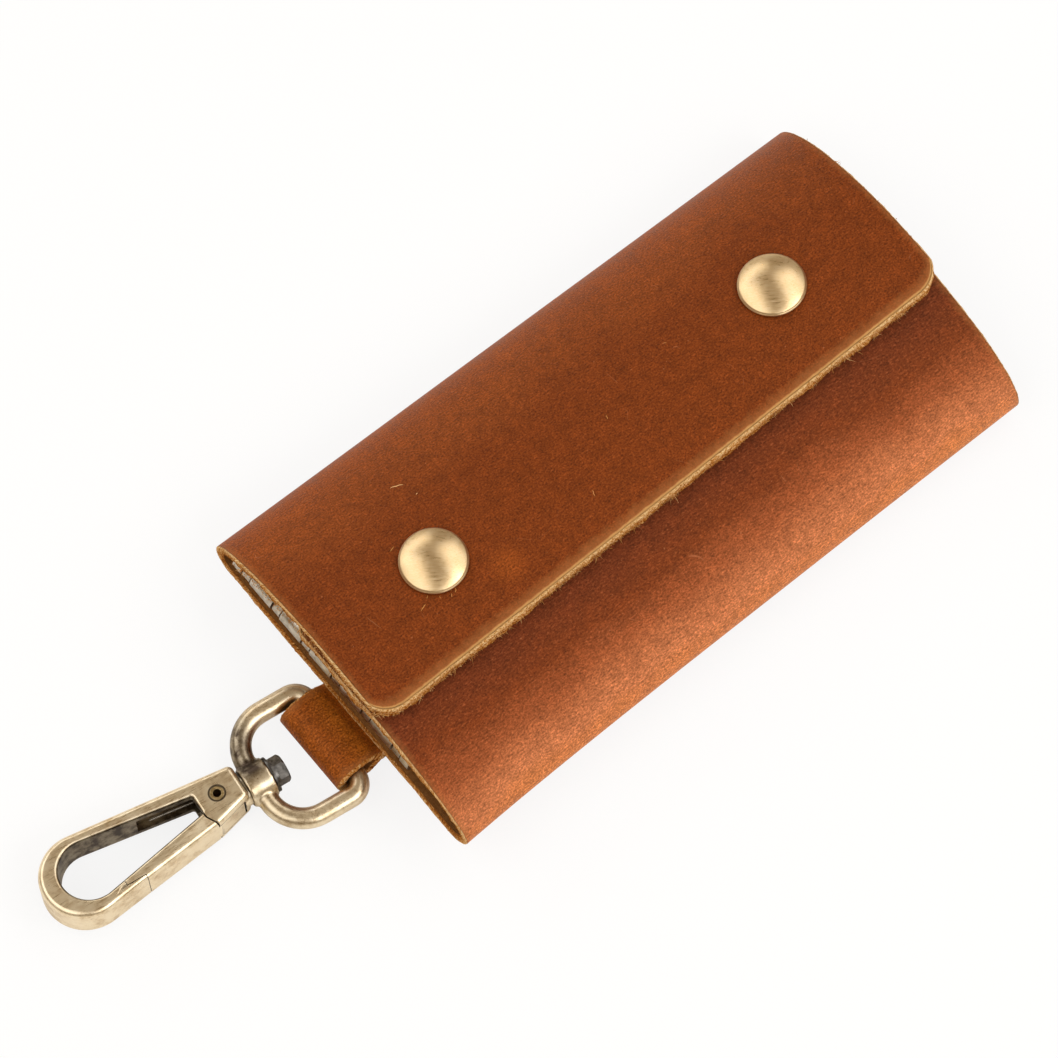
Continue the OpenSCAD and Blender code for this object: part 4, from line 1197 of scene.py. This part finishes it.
def nicks(name, body, material):
    rng = np.random.default_rng(8)
    points, faces, tones = [], [], []
    for x, y, long, turn, tone in NICKS:
        a = radians(turn)
        side = np.array([-sin(a), cos(a), 0.0])
        base = len(points)
        for k in range(5):
            t = (k / 4 - 0.5) * long
            px = x + t * cos(a) + rng.normal(0, 0.05)
            py = y + t * sin(a) + rng.normal(0, 0.05)
            spot = np.array([px, *flap_at(px, acos(py / half_w(px)), -0.015)])
            wide = NICK_W * sin(pi * (k + 0.5) / 5)
            points += [spot - side * wide, spot + side * wide + np.array([0, 0, 0.03])]
            tones += [tone] * 2
        for k in range(base, base + 8, 2):
            faces.append((k, k + 2, k + 3, k + 1))
    obj = mesh_object(name, to_world(points, CASE), faces)
    set_values(obj, "tone", tones)
    obj.data.materials.append(material)
    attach(obj, body)
    print(f"{name}: {len(NICKS)} marks")


nicks("flap_nicks", "flap", fibre_material)

# %% [markdown]
# ## Steel and nickel pieces
# The key plate, its rod and hooks are nickel-plated steel. The swivel bolt and its
# washers are blackened steel. Their CAD shapes are right, so each piece is a copy of
# its solid with lightly eased edges and a finish. The springs keep theirs.

# %% Steel finishes
WEAR = 900.0  # noise scale, per metre


def plated_steel(name, tones, low, high):
    """low and high: the range of its roughness."""
    material = new_material(name)
    place = add("ShaderNodeTexCoord").outputs["Object"]
    wear = noise(place, WEAR, 4.0, 0.6)
    finish_material({
        "Base Color": ramp_of(wear, [(0.35, tones[0]), (0.65, tones[1])]),
        "Metallic": 1.0,
        "Roughness": remap(wear, 0.3, 0.7, low, high),
    })
    return material


FINISHES = {
    "nickel": plated_steel(
        "nickel-plated steel, satin", ("#A89F90", "#D0C8BA"), 0.28, 0.42),
    "dark_steel": plated_steel("blackened steel", ("#454341", "#75726E"), 0.28, 0.38),
    "spring_steel": plated_steel("spring wire", ("#7F7A72", "#A8A298"), 0.25, 0.35),
    "antique_brass": plated_steel(
        "antique brass, plain", ("#8E7850", "#C5AE80"), 0.3, 0.42),
}
print("finishes:", sorted(FINISHES))

# %% Dress the small metal pieces
SMALL = [  # node, finish, and how far its edges are eased in millimetres
    ("swivel_bolt", "dark_steel", 0.08),
    ("bolt_washers", "dark_steel", 0.06),
    ("gate_pin", "antique_brass", 0.12),
    ("hook_plate", "nickel", 0.1),
    ("hook_rod", "nickel", 0.2),
    ("plate_rivets", "nickel", 0.15),
    ("strap_rivets", "antique_brass", 0.2),
]
SMALL += [(f"key_hook_{k}", "nickel", 0.12) for k in range(1, 7)]
for part in ("snap_socket", "snap_stud", "stud_backing"):
    SMALL += [(f"{part}_{k}", "antique_brass", 0.08) for k in (1, 2)]
for node in ("gate_spring", "snap_spring_1", "snap_spring_2"):
    SMALL.append((node, "spring_steel", 0.0))
for node, slot, width in SMALL:
    piece = copy_of(f"{node}_finished", node)
    if width:
        ease_edges(piece, width)
    shade(piece)
    even_shading(piece)
    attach(piece, frame["nodes"][node]["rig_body"])
    dress(piece, FINISHES[slot], slot, node)

# %% [markdown]
# ## Floor, light and camera
# The photograph is a product shot on white. One large soft panel hangs over the
# clasp's end and one over the far end, with a gap between them: that gap is the dark
# stripe on the domed caps. Two lower panels light the long sides, so that the folds
# shine and the flat top stays deep. The camera looks down steeply from the clasp's
# corner.

# %% Floor
FLOOR_REACH, FLOOR_DROP = 3, 0.0002  # metres
FLOOR_GLOW = 0.84  # share of pure white that the camera sees in the paper
WHITE = (1.0, 1.0, 1.0, 1.0)

floor_material = new_material("white paper")
paper = add("ShaderNodeBsdfDiffuse", {"Color": srgb("#F7F7F6")}).outputs[0]
glow = add("ShaderNodeEmission", {"Color": WHITE, "Strength": 1.0}).outputs[0]
seen = add("ShaderNodeLightPath").outputs["Is Camera Ray"]
share = number("MULTIPLY", seen, FLOOR_GLOW)
paper = add("ShaderNodeMixShader", {0: share, 1: paper, 2: glow})
add("ShaderNodeOutputMaterial", {"Surface": paper.outputs[0]})
r, z = FLOOR_REACH, -FLOOR_DROP
corners = [(-r, -r, z), (r, -r, z), (r, r, z), (-r, r, z)]
floor = mesh_object("floor", corners, [(0, 1, 2, 3)], smooth=False)
floor.data.materials.append(floor_material)
print("floor:", 2 * FLOOR_REACH, "m wide")

# %% Lights
def soft_box(name, azimuth, elevation, distance, size, brightness):
    """A glowing panel that faces the case, 1 being as bright as white paper."""
    turn, rise = radians(azimuth), radians(elevation)
    flat = cos(rise)
    place = Vector((cos(turn) * flat, sin(turn) * flat, sin(rise)))
    place *= distance
    lamp = bpy.data.lights.new(name, "AREA")
    lamp.shape = "RECTANGLE"
    lamp.size, lamp.size_y = size
    lamp.energy = brightness * pi * size[0] * size[1]
    obj = in_scene(name, lamp)
    obj.location = place
    obj.rotation_euler = place.to_track_quat("Z", "Y").to_euler()
    print(f"{name}: {lamp.energy:.1f} W")


soft_box("clasp end panel", 160, 52, 1.5, (2.4, 1.12), 1.4)
soft_box("far end panel", -14, 49, 1.5, (2.2, 1.12), 1.4)
soft_box("front panel light", -76, 40, 1.6, (1.6, 0.85), 2.6)
soft_box("back panel light", 90, 26, 1.6, (1.7, 0.6), 1.6)

# %% The room: warm walls for the metal to mirror, white where the camera looks
ROOM_COLOUR, ROOM_LIGHT = srgb("#EBCFA8"), 0.34
world = bpy.data.worlds.new("studio")
bpy.context.scene.world = world
open_tree(world)
room = add("ShaderNodeBackground", {"Color": ROOM_COLOUR, "Strength": ROOM_LIGHT})
white = add("ShaderNodeBackground", {"Color": WHITE, "Strength": 1.0})
seen = add("ShaderNodeLightPath").outputs["Is Camera Ray"]
both = add("ShaderNodeMixShader", {0: seen, 1: room.outputs[0], 2: white.outputs[0]})
add("ShaderNodeOutputWorld", {"Surface": both.outputs[0]})
print("room light:", ROOM_LIGHT)

# %% Camera
AZIMUTH, ELEVATION, DISTANCE = radians(-39.36), radians(70.44), 1.069
LENS_MM, SENSOR_MM = 205.06, 36.0
target = Vector((11.81, 2.72, 8.0)) * MM
flat = cos(ELEVATION)
back = Vector((sin(AZIMUTH) * flat, -cos(AZIMUTH) * flat, sin(ELEVATION)))
lens = bpy.data.cameras.new("camera")
lens.sensor_width = SENSOR_MM
lens.lens = LENS_MM
camera = in_scene("camera", lens)
camera.location = target + back * DISTANCE
camera.rotation_euler = back.to_track_quat("Z", "Y").to_euler()
bpy.context.scene.camera = camera
bpy.context.scene.view_settings.view_transform = "Standard"
print("camera at", [round(c, 3) for c in camera.location])
